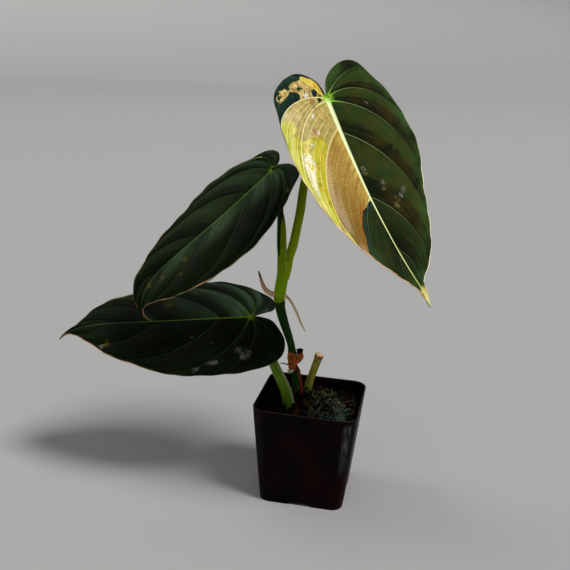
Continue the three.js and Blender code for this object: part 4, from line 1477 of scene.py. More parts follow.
STALKS = (
    Stalk(
        "main_stem", "stem", "dark_stem",
        ((-11, 6.5, 38, 2.2), (-10.8, 6, 58, 2.4), (-11.4, 5.2, 68, 2.2), (-12.6, 4.4, 76, 2.2),
         (-13.2, 4, 79, 2.8), (-13.5, 3.8, 82, 3), (-13.9, 3.6, 86, 2.9), (-14.4, 3.3, 90, 2.4),
         (-15.2, 3, 94, 2.3), (-20.2, 1.3, 109, 2.8), (-22.7, 0.4, 118.5, 3.1), (-23.4, 0, 124.2, 3.5)),
        260, 56,
        Relief(((41.5, 0.25, 0.6), (47.5, 0.3, 0.5), (52, 0.22, 0.5), (84.5, 0.2, 0.8)),
               bark_size=1.6, bark=0.28, seed=5, zone=(40.25, 52.25)),
        StalkSkin("dark_stem_skin", tone(50, 92, 22), tone(42, 72, 22), tone(28, 52, 16), 76, 0.46, 0.5,
                  fade_from=46, band=tone(222, 132, 78), band_from=77.4, band_to=88.8,
                  crown=tone(140, 172, 4), crown_length=2.4),
        dome=0.05, end=UP),
    Stalk(
        "upper_stem_skin", "upper_stem", "pale_stem",
        ((-23.4, 0, 124.3, 3.4), (-23.3, -0.1, 127.5, 3.6), (-22.7, -0.2, 133, 3.6),
         (-21.9, -0.3, 139.1, 3.6), (-21.4, -0.4, 145.1, 4.1), (-21, -0.5, 150, 4.7)),
        110, 64, Relief(((0.6, 0.25, 0.7), (3.2, 0.15, 0.9)), 9, 0.05),
        StalkSkin("lime_stem_skin", tone(146, 186, 0), tone(146, 174, 2), tone(104, 140, 0), 26, 0.4, 0.5,
                  crown=tone(140, 160, 2)),
        flat=0.8, dome=0.35, start=UP, end=UP),
    Stalk(
        "petiole_of_variegated_leaf", "petiole_variegated", "pale_stem",
        ((-20.6, -0.4, 137, 2.6), (-19.6, -0.4, 144, 2.9), (-18.6, -0.4, 150.3, 2.7), (-16.7, 0, 157.4, 2.7),
         (-14.7, 0.1, 170.4, 2.6), (-13.4, 0.3, 179.5, 2.6), (-12.3, 0.8, 193.1, 2.5), (-9, 1.8, 218, 2.3),
         (-6.4, 1.9, 236, 2.3), (*VARIEGATED_SEAT, 2.3)),
        200, 48, Relief(((21.5, 0.14, 0.6),), 7, 0.045),
        StalkSkin("lime_petiole_skin", tone(150, 180, 2), tone(124, 130, 0), tone(160, 168, 20), 90,
                  0.4, 0.4),
        end=VARIEGATED_END),
    Stalk(
        "petiole_of_middle_leaf", "petiole_middle", "dark_stem",
        ((-22.6, 0, 138, 2.0), (-23.2, 0.2, 144, 2.2), (-23.8, 0.4, 150.3, 2.0), (-24.6, 0.5, 158, 1.9),
         (-25.1, 0.2, 170, 1.8), (-25.6, -0.8, 185, 1.8), (-26.2, -1.8, 194.5, 1.8), (*MIDDLE_SEAT, 1.8)),
        160, 40, Relief(ribs=6, rib=0.04),
        StalkSkin("dark_petiole_skin", tone(56, 104, 6), tone(34, 72, 8), tone(24, 56, 6), 40, 0.45, 0.4),
        end=MIDDLE_END),
    Stalk(
        "petiole_of_lower_leaf", "petiole_lower", "petiole_base",
        ((-10.5, -11.5, 42, 3), (-11.3, -11.2, 56, 3.5), (-13.8, -10.8, 66.5, 3.6), (-17.3, -10, 74, 3.4),
         (-21.5, -8.9, 81, 3.1), (-27.9, -5.5, 91.8, 2.7), (-34.9, -1.6, 102.3, 2.4), (*LOWER_SEAT, 2.4)),
        180, 56, Relief(ribs=8, rib=0.05),
        StalkSkin("fresh_petiole_skin", tone(74, 104, 6), tone(142, 176, 60), tone(50, 84, 8), 56, 0.36, 0.5,
                  wing=tone(176, 190, 136), wing_from=0.62),
        end=LOWER_END),
    Stalk(
        "sheath_leaf", "cataphyll", "pale_stem",
        ((-21.2, -2.6, 140, 1.8), (-21.4, -3.3, 145, 2.2), (-21.6, -3.7, 150.3, 2.2), (-21.9, -3.7, 160, 1.9),
         (-22.6, -3.5, 170.4, 1.5), (-23.1, -3.4, 177.3, 0.4)),
        110, 32, Relief(ribs=5, rib=0.05),
        StalkSkin("sheath_leaf_skin", tone(136, 172, 2), tone(146, 154, 20), tone(96, 124, 6), 40, 0.42, 0.5,
                  wing=tone(204, 196, 150), crown=tone(84, 74, 36), crown_length=7),
        flat=0.28),
    Stalk(
        "cut_petiole_stub", "cut_petiole", "pale_stem",
        ((-7, 20, 42, 2.4), (-5.2, 20, 59, 2.6), (-3.3, 19.7, 67.9, 2.5), (-1.4, 19.3, 75.1, 2.4),
         (0.9, 19, 83, 2.7)),
        130, 44, Relief(((41.3, 0.3, 0.8),), 7, 0.1),
        StalkSkin("cut_petiole_skin", tone(126, 150, 40), tone(190, 184, 92), tone(86, 98, 28), 44,
                  0.45, 0.75, wing=tone(132, 76, 44),
                  cut=tone(84, 46, 32), pith=tone(212, 176, 134), cut_length=2.6),
        dome=0.12),
    Stalk(
        "dried_stub_bark", "dried_stub", "bark",
        ((-11.2, 3.4, 82.6, 1.2), (-9.4, 3.3, 84.4, 1.5), (-8.9, 3, 86.6, 1.9), (-9.3, 3, 89, 1.8),
         (-9.5, 3, 91.3, 2)),
        70, 40, root_bark(1.3, 0.3, 21),
        StalkSkin("dried_stub_bark", tone(232, 148, 88), tone(196, 116, 66), tone(126, 68, 36), 8, 0.7, 0.6,
                  cut=tone(34, 18, 12), pith=tone(48, 28, 20), cut_length=2.8, bump=0.5),
        dome=0.08),
    Stalk(
        "curled_aerial_root", "aerial_root_left", "root",
        ((-25.6, -0.4, 126.2, 1.5), (-27.6, -1.2, 126.6, 1.6), (-29.4, -2.8, 127.9, 1.5),
         (-31.8, -4, 130.4, 1.3), (-33.9, -5, 135.3, 0.9), (-35.7, -6, 141.4, 0.25)),
        90, 28, root_bark(1.4, 0.14, 31),
        StalkSkin("pink_root_skin", tone(244, 200, 172), tone(204, 158, 132), tone(214, 166, 138), 16,
                  0.6, 0.5, crown=tone(60, 40, 34), crown_length=7, bump=0.25),
        dome=0.8),
    Stalk(
        "hanging_aerial_root", "aerial_root_right", "root",
        ((-20.6, -0.6, 126.3, 0.9), (-19.2, -0.9, 126, 0.85), (-15.3, -4, 123.7, 0.8),
         (-11.6, -5.5, 118.3, 0.75), (-8.5, -6.5, 112.4, 0.6), (-5.4, -7, 107, 0.3)),
        110, 24, root_bark(1.4, 0.06, 41),
        StalkSkin("pale_root_skin", tone(248, 214, 170), tone(240, 216, 168), tone(220, 180, 138), 26,
                  0.6, 0.4, bump=0.2),
        dome=0.8),
    Stalk(
        "side_root_thread", "side_root", "root",
        ((-15.6, 3, 80.2, 0.4), (-16.7, 2.4, 80.6, 0.4), (-18.4, 1, 81.6, 0.35), (-20.8, -1, 82.4, 0.2)),
        50, 16, root_bark(1, 0.04, 51),
        StalkSkin("side_root_skin", tone(130, 92, 60), tone(96, 68, 46), tone(74, 50, 32), 6, 0.7, 0.5),
        dome=0.8),
    Stalk(
        "soil_root_bark", "soil_root", "root",
        ((-11.2, 3, 80, 0.8), (-9.6, 2.4, 78.4, 0.85), (-8.2, 1.6, 72.6, 0.95), (-6.9, 1, 67.2, 0.95),
         (-6.4, 0.6, 52, 0.8)),
        110, 26, root_bark(1.2, 0.1, 61),
        StalkSkin("soil_root_skin", tone(150, 76, 50), tone(104, 48, 32), tone(80, 38, 24), 28, 0.55, 0.6,
                  bump=0.3),
        dome=0.5),
)


@dataclass(frozen=True)
class TornSheath:
    """Papery strip round the front of the stem below the woody node."""

    centre: tuple[float, float] = (-12.9, 4.2)
    radius: float = 3.3
    low: float = 74.4
    high: float = 77.6
    turn_from: float = 140.0
    turn_to: float = 285.0
    half: float = 1.25
    thickness: float = 0.35
    flare: float = 0.35
    steps: int = 80
    around: int = 24

    def shell(self) -> Shell:
        """A strip on a climbing arc, its two long edges ragged by sines, closed by its inner face.

        Returns:
            Closed surface with its grain.
        """
        share = np.linspace(0, 1, self.steps)[:, None]
        turn = np.radians(self.turn_from + (self.turn_to - self.turn_from) * share)
        ragged = 1 + 0.25 * np.sin(23 * share) + 0.18 * np.sin(51 * share + 1)
        tall = self.half * ragged * np.clip(np.sin(np.pi * share), 0.08, 1) ** 0.4
        around = np.linspace(0, 2 * np.pi, self.around, endpoint=False)[None, :]
        flare = self.flare * np.cos(around) ** 2 * np.sin(17 * share + 1)
        away = self.radius + flare + self.thickness * (0.5 + 0.5 * np.sin(around))
        points = np.stack([
            self.centre[0] + away * np.cos(turn), self.centre[1] + away * np.sin(turn),
            self.low + (self.high - self.low) * share + tall * np.cos(around),
        ], -1)
        return tube(points, grain=points * (1, 1, 0.3) * MM)

    def material(self) -> bpy.types.Material:
        """Dry, papery skin, cream with brown fibres.

        Returns:
            The finished material.
        """
        f = Finish("papery_sheath")
        fibres = f.noise(f.vector("grain"), 0.5, 4, 0.7)
        skin = f.paint(
            tone(250, 238, 204), (fibres.rise(0.45, 0.75), tone(176, 142, 98)),
            (f.noise(f.place, 1.5).rise(0.5, 0.65) * 0.5, tone(236, 226, 196)))
        return f.dress(Base_Color=skin, Roughness=0.85, Normal=f.bump(fibres, 0.2, 0.8))


@dataclass(frozen=True)
class Plant:
    """The plant over the mix: its stalks, the torn sheath, and the leaves with their looks."""

    stalks: tuple[Stalk, ...] = STALKS
    sheath: TornSheath = TornSheath()
    leaves: tuple[tuple[Blade, BladeLook], ...] = (
        (VARIEGATED_LEAF, VARIEGATED_LOOK), (MIDDLE_LEAF, MIDDLE_LOOK), (LOWER_LEAF, LOWER_LOOK))

    def build(self) -> None:
        """Makes every stalk, the torn sheath and the leaves."""
        for stalk in self.stalks:
            add_piece(stalk.piece, stalk.shell(), stalk.skin.material(), stalk.slot, stalk.node)
        sheath = self.sheath
        add_piece("torn_sheath_paper", sheath.shell(), sheath.material(), "dried_sheath", "torn_sheath")
        for blade, look in self.leaves:
            add_piece(blade.piece, blade.shell(), BladeFinish(look).build(), blade.slot, blade.node)


# Pot and potting mix

@dataclass(frozen=True)
class SquareRing:
    """Square ring with rounded corners, as shares that any half width and corner radius can use."""

    arc_steps: int = 18
    run: tuple[float, ...] = (0.97, 0.9, 0.8, 0.7, 0.58, 0.46, 0.42, 0.385, 0.345, 0.3, 0.2, 0.1, 0.0)

    def shares(self) -> tuple[np.ndarray, np.ndarray]:
        """Place of each sample's corner centre, -1 to 1 each way, and the direction out from it.

        Returns:
            Rows of corner centres, and rows of unit directions.
        """
        half_run = np.array(self.run)
        middle = np.concatenate([half_run, -half_run[:-1][::-1]])[:, None]
        arc = np.linspace(0, np.pi / 2, self.arc_steps + 1)
        centres, directions = [], []
        for quarter in range(4):
            turn = arc + quarter * np.pi / 2
            between = turn[0] + np.pi / 4
            last = np.round([np.cos(turn[-1]), np.sin(turn[-1])])
            corner = np.sign([np.cos(between), np.sin(between)])
            centres += [np.tile(corner, (len(arc), 1)), last + middle * (last[1], -last[0])]
            directions += [np.stack([np.cos(turn), np.sin(turn)], -1), np.tile(last, (len(middle), 1))]
        return np.concatenate(centres), np.concatenate(directions)

    def outline(self, half: np.ndarray, corner: np.ndarray) -> tuple[np.ndarray, np.ndarray]:
        """Rings of x and of y for columns of sizes: (half - corner) centre + corner direction."""
        centres, directions = self.shares()
        return tuple((half - corner) * centres[:, k] + corner * directions[:, k] for k in (0, 1))


@dataclass(frozen=True)
class Pot:
    """Square, tapered pot with a thin wall, corner feet, drain slots and faint reeds on its corners."""

    height: float = 63.0
    top_half: float = 32.0
    foot_half: float = 26.0
    top_corner: float = 9.0
    foot_corner: float = 7.0
    foot_round: float = 0.25
    wall: float = 1.0
    floor: float = 1.2
    notch_half: float = 7.0
    notch_height: float = 2.0
    notch_depth: float = 9.0
    notch_fade: float = 5.0
    notch_soft: float = 0.25
    slot_half: float = 4.0
    slot_from: float = 4.0
    slot_to: float = 8.0
    slot_rise: float = 1.0
    slot_soft: float = 0.2
    lip: float = 0.45
    lip_rise: float = 0.55
    lip_lap: float = 0.05
    reed: float = 0.1
    reed_count: int = 16

    def half(self, z: np.ndarray) -> np.ndarray:
        """Half width of the outside at a height."""
        return self.foot_half + (self.top_half - self.foot_half) * z / self.height

    def corner(self, z: np.ndarray) -> np.ndarray:
        """Corner radius of the outside at a height."""
        return self.foot_corner + (self.top_corner - self.foot_corner) * z / self.height

    def notch(self, x: np.ndarray, y: np.ndarray, grow: float = 0.0) -> np.ndarray:
        """One over the drain channel at the middle of each side, zero elsewhere.

        Args:
            x, y: Places in millimetres.
            grow: Millimetres to widen the channel by.

        Returns:
            A number for each place, 0 to 1.
        """
        across, out = np.minimum(np.abs(x), np.abs(y)), np.maximum(np.abs(x), np.abs(y))
        inner = self.foot_half - self.notch_depth - grow
        wide = 1 - step_at(across, self.notch_half + grow, self.notch_soft)
        return wide * step_at(out, inner, self.notch_soft)

    def slot(self, x: np.ndarray, y: np.ndarray) -> np.ndarray:
        """One in the drain slot of each channel, zero elsewhere.

        Args:
            x, y: Places in millimetres.

        Returns:
            A number for each place, 0 to 1.
        """
        across, depth = np.minimum(np.abs(x), np.abs(y)), self.foot_half - np.maximum(np.abs(x), np.abs(y))
        return ((1 - step_at(across, self.slot_half, self.notch_soft))
                * step_at(depth, self.slot_from, self.slot_soft)
                * (1 - step_at(depth, self.slot_to, self.slot_soft)))

    def shell(self) -> Shell:
        """Rings from the middle of the underside out to the foot, up the wall, over the lip, down the
        inside and in over the floor.

        Returns:
            Closed surface with its corner values.
        """
        under = np.concatenate([np.linspace(0.02, 0.28, 5), np.linspace(0.32, 0.985, 60)])
        wall_z = np.concatenate([[0, 0.25, 0.6, 1, 1.4, 1.8, 2.2, 2.8, 3.6, 5], np.linspace(8, 62.2, 34)])
        inside_z = np.concatenate([np.linspace(61.8, 50, 9), np.linspace(46, 6, 6), [4, 3, 2]])
        inner = under[::-3]
        soft = self.foot_round * (1 - np.minimum(wall_z / 0.6, 1)) ** 2
        turn = np.linspace(0, np.pi, 9)[1:-1]
        lip = self.lip * np.cos(turn) - self.wall / 2
        lip_z = self.height - self.lip_rise * (1 - np.sin(turn))
        sections = {
            "under": (self.foot_half * under, self.foot_corner * under, 0 * under),
            "wall": (self.half(wall_z) - soft, self.corner(wall_z) - soft, wall_z),
            "lip": (self.half(lip_z) + lip + self.lip_lap * (turn <= np.pi / 2),
                    self.corner(lip_z) + lip, lip_z),
            "inside": (self.half(inside_z) - self.wall, self.corner(inside_z) - self.wall, inside_z),
            "floor": ((self.foot_half - self.wall) * inner, (self.foot_corner - self.wall) * inner,
                      self.floor + 0 * inner),
        }
        half, corner, z = (np.concatenate(rows)[:, None] for rows in zip(*sections.values()))
        part = np.repeat(list(sections), [len(rows[0]) for rows in sections.values()])[:, None]
        x, y = SquareRing().outline(half, corner)
        notch = self.notch(x, y)
        z = z + (part == "under") * (self.notch_height * notch + self.slot_rise * self.slot(x, y))
        z = z + (part == "wall") * notch * self.notch_height * np.clip(1 - z / self.notch_fade, 0, 1)
        lifted = (self.notch_height + self.floor) * self.notch(x, y, self.wall)
        low_inside = (part == "inside") & (z < self.notch_fade)
        z = np.where(part == "floor", np.maximum(z, lifted), z)
        z = np.where(low_inside, np.maximum(z, lifted + 0.02 * z), z)
        centres, directions = SquareRing().shares()
        angle = np.arctan2(directions[:, 1], directions[:, 0])
        rounded = (np.abs(np.abs(centres).min(axis=1) - 1) < 1e-6) * np.abs(np.sin(2 * angle))
        reeds = np.cos(self.reed_count * angle) * smooth_step(rounded, 0.15, 0.5)
        reeds = self.reed * reeds * smooth_step(z, 4, 9) * (1 - smooth_step(z, 56, 61)) * (part == "wall")
        points = np.stack([x + reeds * directions[:, 0], y + reeds * directions[:, 1], z], -1)
        return tube(points, corner=np.broadcast_to(rounded, x.shape))

    def material(self) -> bpy.types.Material:
        """Injection-moulded black plastic: faint red clouds, partly a painted soft reddish reflection,
        painted grey reflection streaks down the front corners, a thin painted highlight along the lip, soiled
        rim, dust specks and rougher scuffs.

        Returns:
            The finished material.
        """
        f = Finish("black_pot_plastic")
        place, height = f.place, f.height
        cloud = f.noise(place, 22)
        dust = f.noise(place, 1.4, 4, 0.7)
        flow = f.node("CombineXYZ", 0, {0: f.noise(place, 9, 1) * 0.03, 1: height * 0.00012})
        stretched = f.node("VectorMath", 0, {0: place, 1: (1, 1, 0.02)}, operation="MULTIPLY")
        lines = f.noise(stretched, 1.1, 2, 0.6)
        half = height * ((self.top_half - self.foot_half) / self.height) + self.foot_half
        fore = (f.part(place, "Y") / half).rise(-0.9, -0.95) * f.part(place, "X").rise(-5, 5, 0.15, 1)
        # Painted reflection: grey vertical streaks down the front corners, strongest on the right, from mid
        # height to under the lip.
        painted_corner_reflection = (f.value("corner").rise(0.2, 0.6) * lines.rise(0.4, 0.62, 0.2, 1) * fore
                * height.rise(20, 44) * height.rise(58, 61, 1, 0))
        skin = f.paint(
            tone(4, 2, 2),
            # Red clouds: a tint of the plastic, partly a painted soft reddish reflection.
            (cloud.rise(0.35, 0.65), tone(34, 10, 11)),
            (dust.rise(0.66, 0.8) * 0.1, tone(80, 66, 54)),
            (height.rise(54, 62) * dust.rise(0.52, 0.64) * 0.35, tone(50, 38, 26)),
            # Painted reflection streaks in grey.
            (painted_corner_reflection * 0.8, tone(84, 86, 90)),
            # Painted highlight: a thin lighter line along the lip.
            (height.rise(62.2, 62.8, 0, 0.5), tone(64, 56, 54)))
        relief = cloud * 0.9 + f.noise(flow, 1, 3, 0.7) * 0.08 + dust * 0.05
        rough = cloud.rise(0.3, 0.7, 0.4, 0.5) + dust.rise(0.58, 0.78) * 0.12
        return f.dress(Base_Color=skin, Roughness=rough, Normal=f.bump(relief, 0.4, 0.3),
                       Specular_IOR_Level=0.1)

    def build(self) -> None:
        """Makes the pot."""
        add_piece("nursery_pot", self.shell(), self.material(), "pot_plastic", "pot")


def ball(steps: int) -> tuple[np.ndarray, np.ndarray]:
    """Points and triangles of a ball made of an icosahedron split in four, steps times.

    Args:
        steps: How often the faces are split.

    Returns:
        Points of radius one, and triangles.
    """
    made = bmesh.new()
    bmesh.ops.create_icosphere(made, subdivisions=steps, radius=1.0)
    points = np.array([vertex.co[:] for vertex in made.verts])
    faces = np.array([[vertex.index for vertex in face.verts] for face in made.faces])
    made.free()
    return points, faces


def rotations(quaternions: np.ndarray) -> np.ndarray:
    """Turning matrices of unit quaternions (w, x, y, z).

    Args:
        quaternions: Rows of w, x, y, z.

    Returns:
        One 3 by 3 matrix for each row.
    """
    w, x, y, z = quaternions.T
    return np.stack([
        np.stack([1 - 2 * (y * y + z * z), 2 * (x * y - w * z), 2 * (x * z + w * y)], -1),
        np.stack([2 * (x * y + w * z), 1 - 2 * (x * x + z * z), 2 * (y * z - w * x)], -1),
        np.stack([2 * (x * z - w * y), 2 * (y * z + w * x), 1 - 2 * (x * x + y * y)], -1),
    ], -2)


@dataclass(frozen=True)
class Grains:
    """Loose lumps on the mix: how many, how far out, their least and greatest radius, the share of it
    along each of their own axes, the share that is sunk, and how far they stray from round."""

    piece: str
    count: int
    reach: float
    radius: tuple[float, float]
    squash: Place
    sunk: float
    rough: float
    steps: int = 1
    corner: float = 8.0
    few_large: float = 1.6
    stretch: tuple[float, float] = (0.7, 1.3)

    def spots(self, draw: np.random.Generator) -> np.ndarray:
        """Even random places inside the pot's rounded square.

        Args:
            draw: Source of the random numbers.

        Returns:
            Rows of x and y.
        """
        places = draw.uniform(-self.reach, self.reach, (4 * self.count, 2))
        over = np.maximum(np.abs(places) - (self.reach - self.corner), 0)
        return places[np.hypot(*over.T) < self.corner][:self.count]

    def shell(self, draw: np.random.Generator, mix: "PottingMix") -> Shell:
        """All the lumps, each turned at random, with a random number in pick.

        Args:
            draw: Source of the random numbers.
            mix: The mix that they lie on.

        Returns:
            Closed surfaces with their picks.
        """
        verts, faces = ball(self.steps)
        places = self.spots(draw)
        count = len(places)
        low, high = self.radius
        radius = low * (high / low) ** draw.random(count) ** self.few_large
        turns = unit(draw.normal(size=(count, 4)))
        stretch = np.array(self.squash) * draw.uniform(*self.stretch, (count, 3))
        stray = 1 + self.rough * draw.uniform(-1, 1, (count, len(verts), 1))
        shapes = verts[None] * stray * stretch[:, None] * radius[:, None, None]
        shapes = np.einsum("nij,nvj->nvi", rotations(turns), shapes)
        lift = radius * (1 - self.sunk) * min(self.squash)
        middle = np.column_stack([places, mix.height(*places.T) + lift])
        points = (shapes + middle[:, None]).reshape(-1, 3)
        pick = np.repeat(draw.random(count), len(verts))
        return Shell(points, repeated(faces, count, len(verts)), {"pick": pick})


@dataclass(frozen=True)
class PottingMix:
    """Dark peat and bark, mounded round the stems and sunk towards the back right."""

    level: float = 56.2
    mound: float = 5.2
    mound_centre: tuple[float, float] = (-7, 1)
    mound_spread: float = 15.0
    sink: float = 2.6
    sink_centre: tuple[float, float] = (20, 24)
    sink_spread: float = 12.0
    lump: float = 0.9
    lump_length: float = 9.0
    lump_skew: float = 0.5
    coarse_lump: float = 0.45
    fine_lump: float = 0.4
    bottom: float = 4.5
    inset: float = 1.1
    seed: int = 7
    crumbs: Grains = Grains("peat_crumbs", 1500, 29, (0.35, 1.7), (1, 1, 0.8), 0.5, 0.22)
    chips: Grains = Grains("bark_chips", 90, 27.5, (1.2, 3.2), (1, 0.55, 0.35), 0.2, 0.2, 2)
    pearls: Grains = Grains("perlite_grains", 26, 28, (0.35, 0.95), (1, 0.9, 0.8), 0.3, 0.25)

    def height(self, x: np.ndarray, y: np.ndarray) -> np.ndarray:
        """Level plus a bell exp(-d^2 / (2 spread^2)) at the mound, less one at the sink, plus crossed
        waves and lattice noise.

        Args:
            x, y: Places in millimetres.

        Returns:
            Height of the surface at each place.
        """
        mound, sink = (
            tall * bell(np.hypot(x - centre[0], y - centre[1]), math.sqrt(2) * spread)
            for tall, centre, spread in ((self.mound, self.mound_centre, self.mound_spread),
                                         (self.sink, self.sink_centre, self.sink_spread)))
        wave = 2 * math.pi / self.lump_length
        lumps = np.sin(wave * (x + self.lump_skew * y)) * np.cos(wave * (y - self.lump_skew * x))
        return (self.level + mound - sink + self.lump * lumps + self.coarse_lump * lattice_noise(x, y, 3.1, 2)
                + self.fine_lump * lattice_noise(x, y, 1.3, 3))

    def body(self, pot: Pot) -> Shell:
        """Rings over the top surface, down beside the wall and in under the bottom.

        Args:
            pot: The pot that it fills.

        Returns:
            Closed surface with its picks.
        """
        across, down, back = np.linspace(0.02, 1, 70), [50, 40, 25, 12, self.bottom], [0.6, 0.3, 0.05]
        share = np.concatenate([across, np.ones(len(down)), back])[:, None]
        z = np.concatenate([np.full(len(across), self.level), down, np.full(len(back), self.bottom)])[:, None]
        ring = SquareRing(arc_steps=12)
        x, y = ring.outline((pot.half(z) - self.inset) * share, (pot.corner(z) - self.inset) * share)
        z = np.where(z == self.level, self.height(x, y), z)
        return tube(np.stack([x, y, z], -1), inward=True, pick=np.full(x.shape, 0.5))

    def material(self, name: str, tones: Sequence[Tone], rough: float = 0.9,
                 size: float = 0.8) -> bpy.types.Material:
        """Crumbly matter: a tone picked for each lump, mottled by noise.

        Args:
            name: Name of the material.
            tones: Colours to pick from.
            rough: Roughness.
            size: Millimetres between its mottles.

        Returns:
            The finished material.
        """
        f = Finish(name)
        mottle = f.noise(f.place, size, 4, 0.7)
        pick = f.value("pick") + (mottle - 0.5) * 0.7
        edges = [index / len(tones) for index in range(1, len(tones))]
        coats = [(pick.rise(edge - 0.04, edge + 0.04), colour) for edge, colour in zip(edges, tones[1:])]
        skin = f.paint(tones[0], *coats, (mottle.rise(0.5, 0.35) * 0.6, tone(16, 11, 8)))
        return f.dress(Base_Color=skin, Roughness=rough, Normal=f.bump(mottle, 0.5, 0.9),
                       Specular_IOR_Level=0.1)

    def build(self, pot: Pot) -> None:
        """Makes the mix, its crumbs, bark chips and perlite.

        Args:
            pot: The pot that it fills.
        """
        peat = self.material("peat", (tone(5, 3, 2), tone(12, 8, 4), tone(28, 18, 9), tone(7, 5, 3)))
        bark = self.material("bark_chips", (tone(44, 26, 12), tone(66, 42, 22), tone(24, 16, 8)), 0.8, 0.6)
        pearl = self.material("perlite", (tone(170, 164, 146), tone(206, 200, 180)), 0.8, 0.5)
        add_piece("potting_mix_body", self.body(pot), peat, "potting_mix", "soil")
        draw = np.random.default_rng(self.seed)
        for grains, finish in ((self.crumbs, peat), (self.chips, bark), (self.pearls, pearl)):
            add_piece(grains.piece, grains.shell(draw, self), finish, "potting_mix")


SPIKE_FACES = np.array([
    (0, 2, 1), (0, 1, 4), (0, 4, 3), (3, 4, 6), (1, 2, 5),
    (1, 5, 4), (4, 5, 6), (2, 0, 3), (2, 3, 5), (5, 3, 6),
])


@dataclass(frozen=True)
class Moss:
    """Mossy sprigs: curved threads with short pointed leaves, in tufts round a middle."""

    piece: str
    middle: tuple[float, float]
    spread: tuple[float, float]
    tufts: int
    sprigs: int
    tall: float
    tones: tuple[Tone, Tone, Tone]
    seed: int
    leaves: int = 6
    reach: float = 27.5
    lean_from: float = 22.0
    tuft_spread: float = 1.3
    lean_spread: float = 1.2
    steep: tuple[float, float] = (0.8, 2.6)
    tall_share: tuple[float, float] = (0.5, 1.25)
    sunk: float = 0.3
    thread_radius: float = 0.13
    leaf_radius: float = 0.16
    leaf_turn: float = 2.4
    leaf_lean: float = 0.7
    leaf_length: float = 0.42
    leaf_taper: float = 1.15
    thread_droop: float = 0.25
    tip_droop: float = 0.22

    def shell(self, mix: PottingMix) -> Shell:
        """Each sprig is a three-sided spike along an arc, with flat three-sided leaves turned round it.
        Near the wall the sprigs lean inwards.

        Args:
            mix: The mix that it grows on.

        Returns:
            Closed surfaces with their picks.
        """
        draw = np.random.default_rng(self.seed)
        tufts = np.array(self.middle) + draw.normal(size=(self.tufts, 2)) * self.spread
        which = draw.integers(0, self.tufts, self.sprigs)
        root = tufts[which] + draw.normal(size=(self.sprigs, 2)) * self.tuft_spread
        root = root * np.minimum(1, self.reach / np.linalg.norm(root, ord=6, axis=1))[:, None]
        inward = np.sign(root) * np.maximum(np.abs(root) - self.lean_from, 0)
        level = root - tufts[which] + draw.normal(size=(self.sprigs, 2)) * self.lean_spread - inward
        lean = unit(np.column_stack([level, draw.uniform(*self.steep, self.sprigs)]))
        tall = self.tall * draw.uniform(*self.tall_share, self.sprigs)
        base = np.column_stack([root, mix.height(*root.T) - self.sunk])
        sideways = unit(np.cross(lean, draw.normal(size=(self.sprigs, 3))))
        other = np.cross(lean, sideways)
        spikes = [self.spike(base, lean, sideways, tall, self.thread_radius)]
        for index in range(self.leaves):
            share = (index + 1) / (self.leaves + 1)
            droop = (self.thread_droop * tall * share**2)[:, None]
            foot = base + lean * (tall * share)[:, None] - [0, 0, 1] * droop
            turn = (index * self.leaf_turn + draw.uniform(0, 1, self.sprigs))[:, None]
            out = unit(sideways * np.cos(turn) + other * np.sin(turn) + lean * self.leaf_lean)
            flat = unit(np.cross(out, lean))
            long = tall * self.leaf_length * (self.leaf_taper - share)
            spikes.append(self.spike(foot, out, flat, long, self.leaf_radius))
        picks = draw.random(self.sprigs)
        for spike in spikes:
            spike.values["pick"] = np.repeat(picks, 7)
        return gathered(spikes)

    def spike(self, foot: np.ndarray, along: np.ndarray, sideways: np.ndarray, tall: np.ndarray,
              radius: float) -> Shell:
        """Closed three-sided spikes: a small triangle at the foot, a wider one a third of the way up and
        a point, bent down a little at the end.

        Args:
            foot: Where each spike starts.
            along: Unit direction of each.
            sideways: Unit direction square to it.
            tall: Length of each.
            radius: Widest radius.

        Returns:
            Closed surfaces, seven points each.
        """
        turns = (np.arange(3) * 2 * np.pi / 3)[None, :, None]
        round_it = sideways[:, None] * np.cos(turns) + np.cross(along, sideways)[:, None] * np.sin(turns)
        rings = [(foot + along * (tall * share)[:, None])[:, None] + radius * wide * round_it
                 for share, wide in ((0.0, 0.6), (0.35, 1.0))]
        tip = foot + along * tall[:, None] - [0, 0, 1] * (self.tip_droop * tall)[:, None]
        points = np.concatenate([*rings, tip[:, None]], axis=1)
        return Shell(points.reshape(-1, 3), repeated(SPIKE_FACES, len(foot), 7))

    def build(self, mix: PottingMix) -> None:
        """Makes the moss.

        Args:
            mix: The mix that it grows on.
        """
        f = Finish(self.piece + "_finish")
        pick = f.value("pick")
        low, high, dry = self.tones
        fresh = (pick + f.noise(f.place, 2.5) * 0.5).rise(0.4, 0.8)
        skin = f.paint(low, (fresh, high), (pick.rise(0.84, 0.9), dry))
        material = f.dress(Base_Color=skin, Roughness=0.7, Specular_IOR_Level=0.3,
                           Sheen_Weight=0.2, Sheen_Roughness=0.5)
        add_piece(self.piece, self.shell(mix), material, "potting_mix")


MOSSES = (
    Moss("yellow_moss", (9, 2), (13, 14), 84, 1150, 3.8,
         (tone(20, 30, 4), tone(66, 76, 12), tone(112, 104, 44)), 11),
    Moss("teal_moss", (19, -13), (6.5, 7), 34, 620, 3.9,
         (tone(8, 34, 30), tone(38, 78, 68), tone(120, 148, 138)), 12),
)


# Studio

def direction_to(azimuth: float, elevation: float) -> Vector:
    """Direction to a place round the plant, azimuth 0 in front of it and 90 to its right."""
    a, e = math.radians(azimuth), math.radians(elevation)
    return Vector((math.sin(a) * math.cos(e), -math.cos(a) * math.cos(e), math.sin(e)))


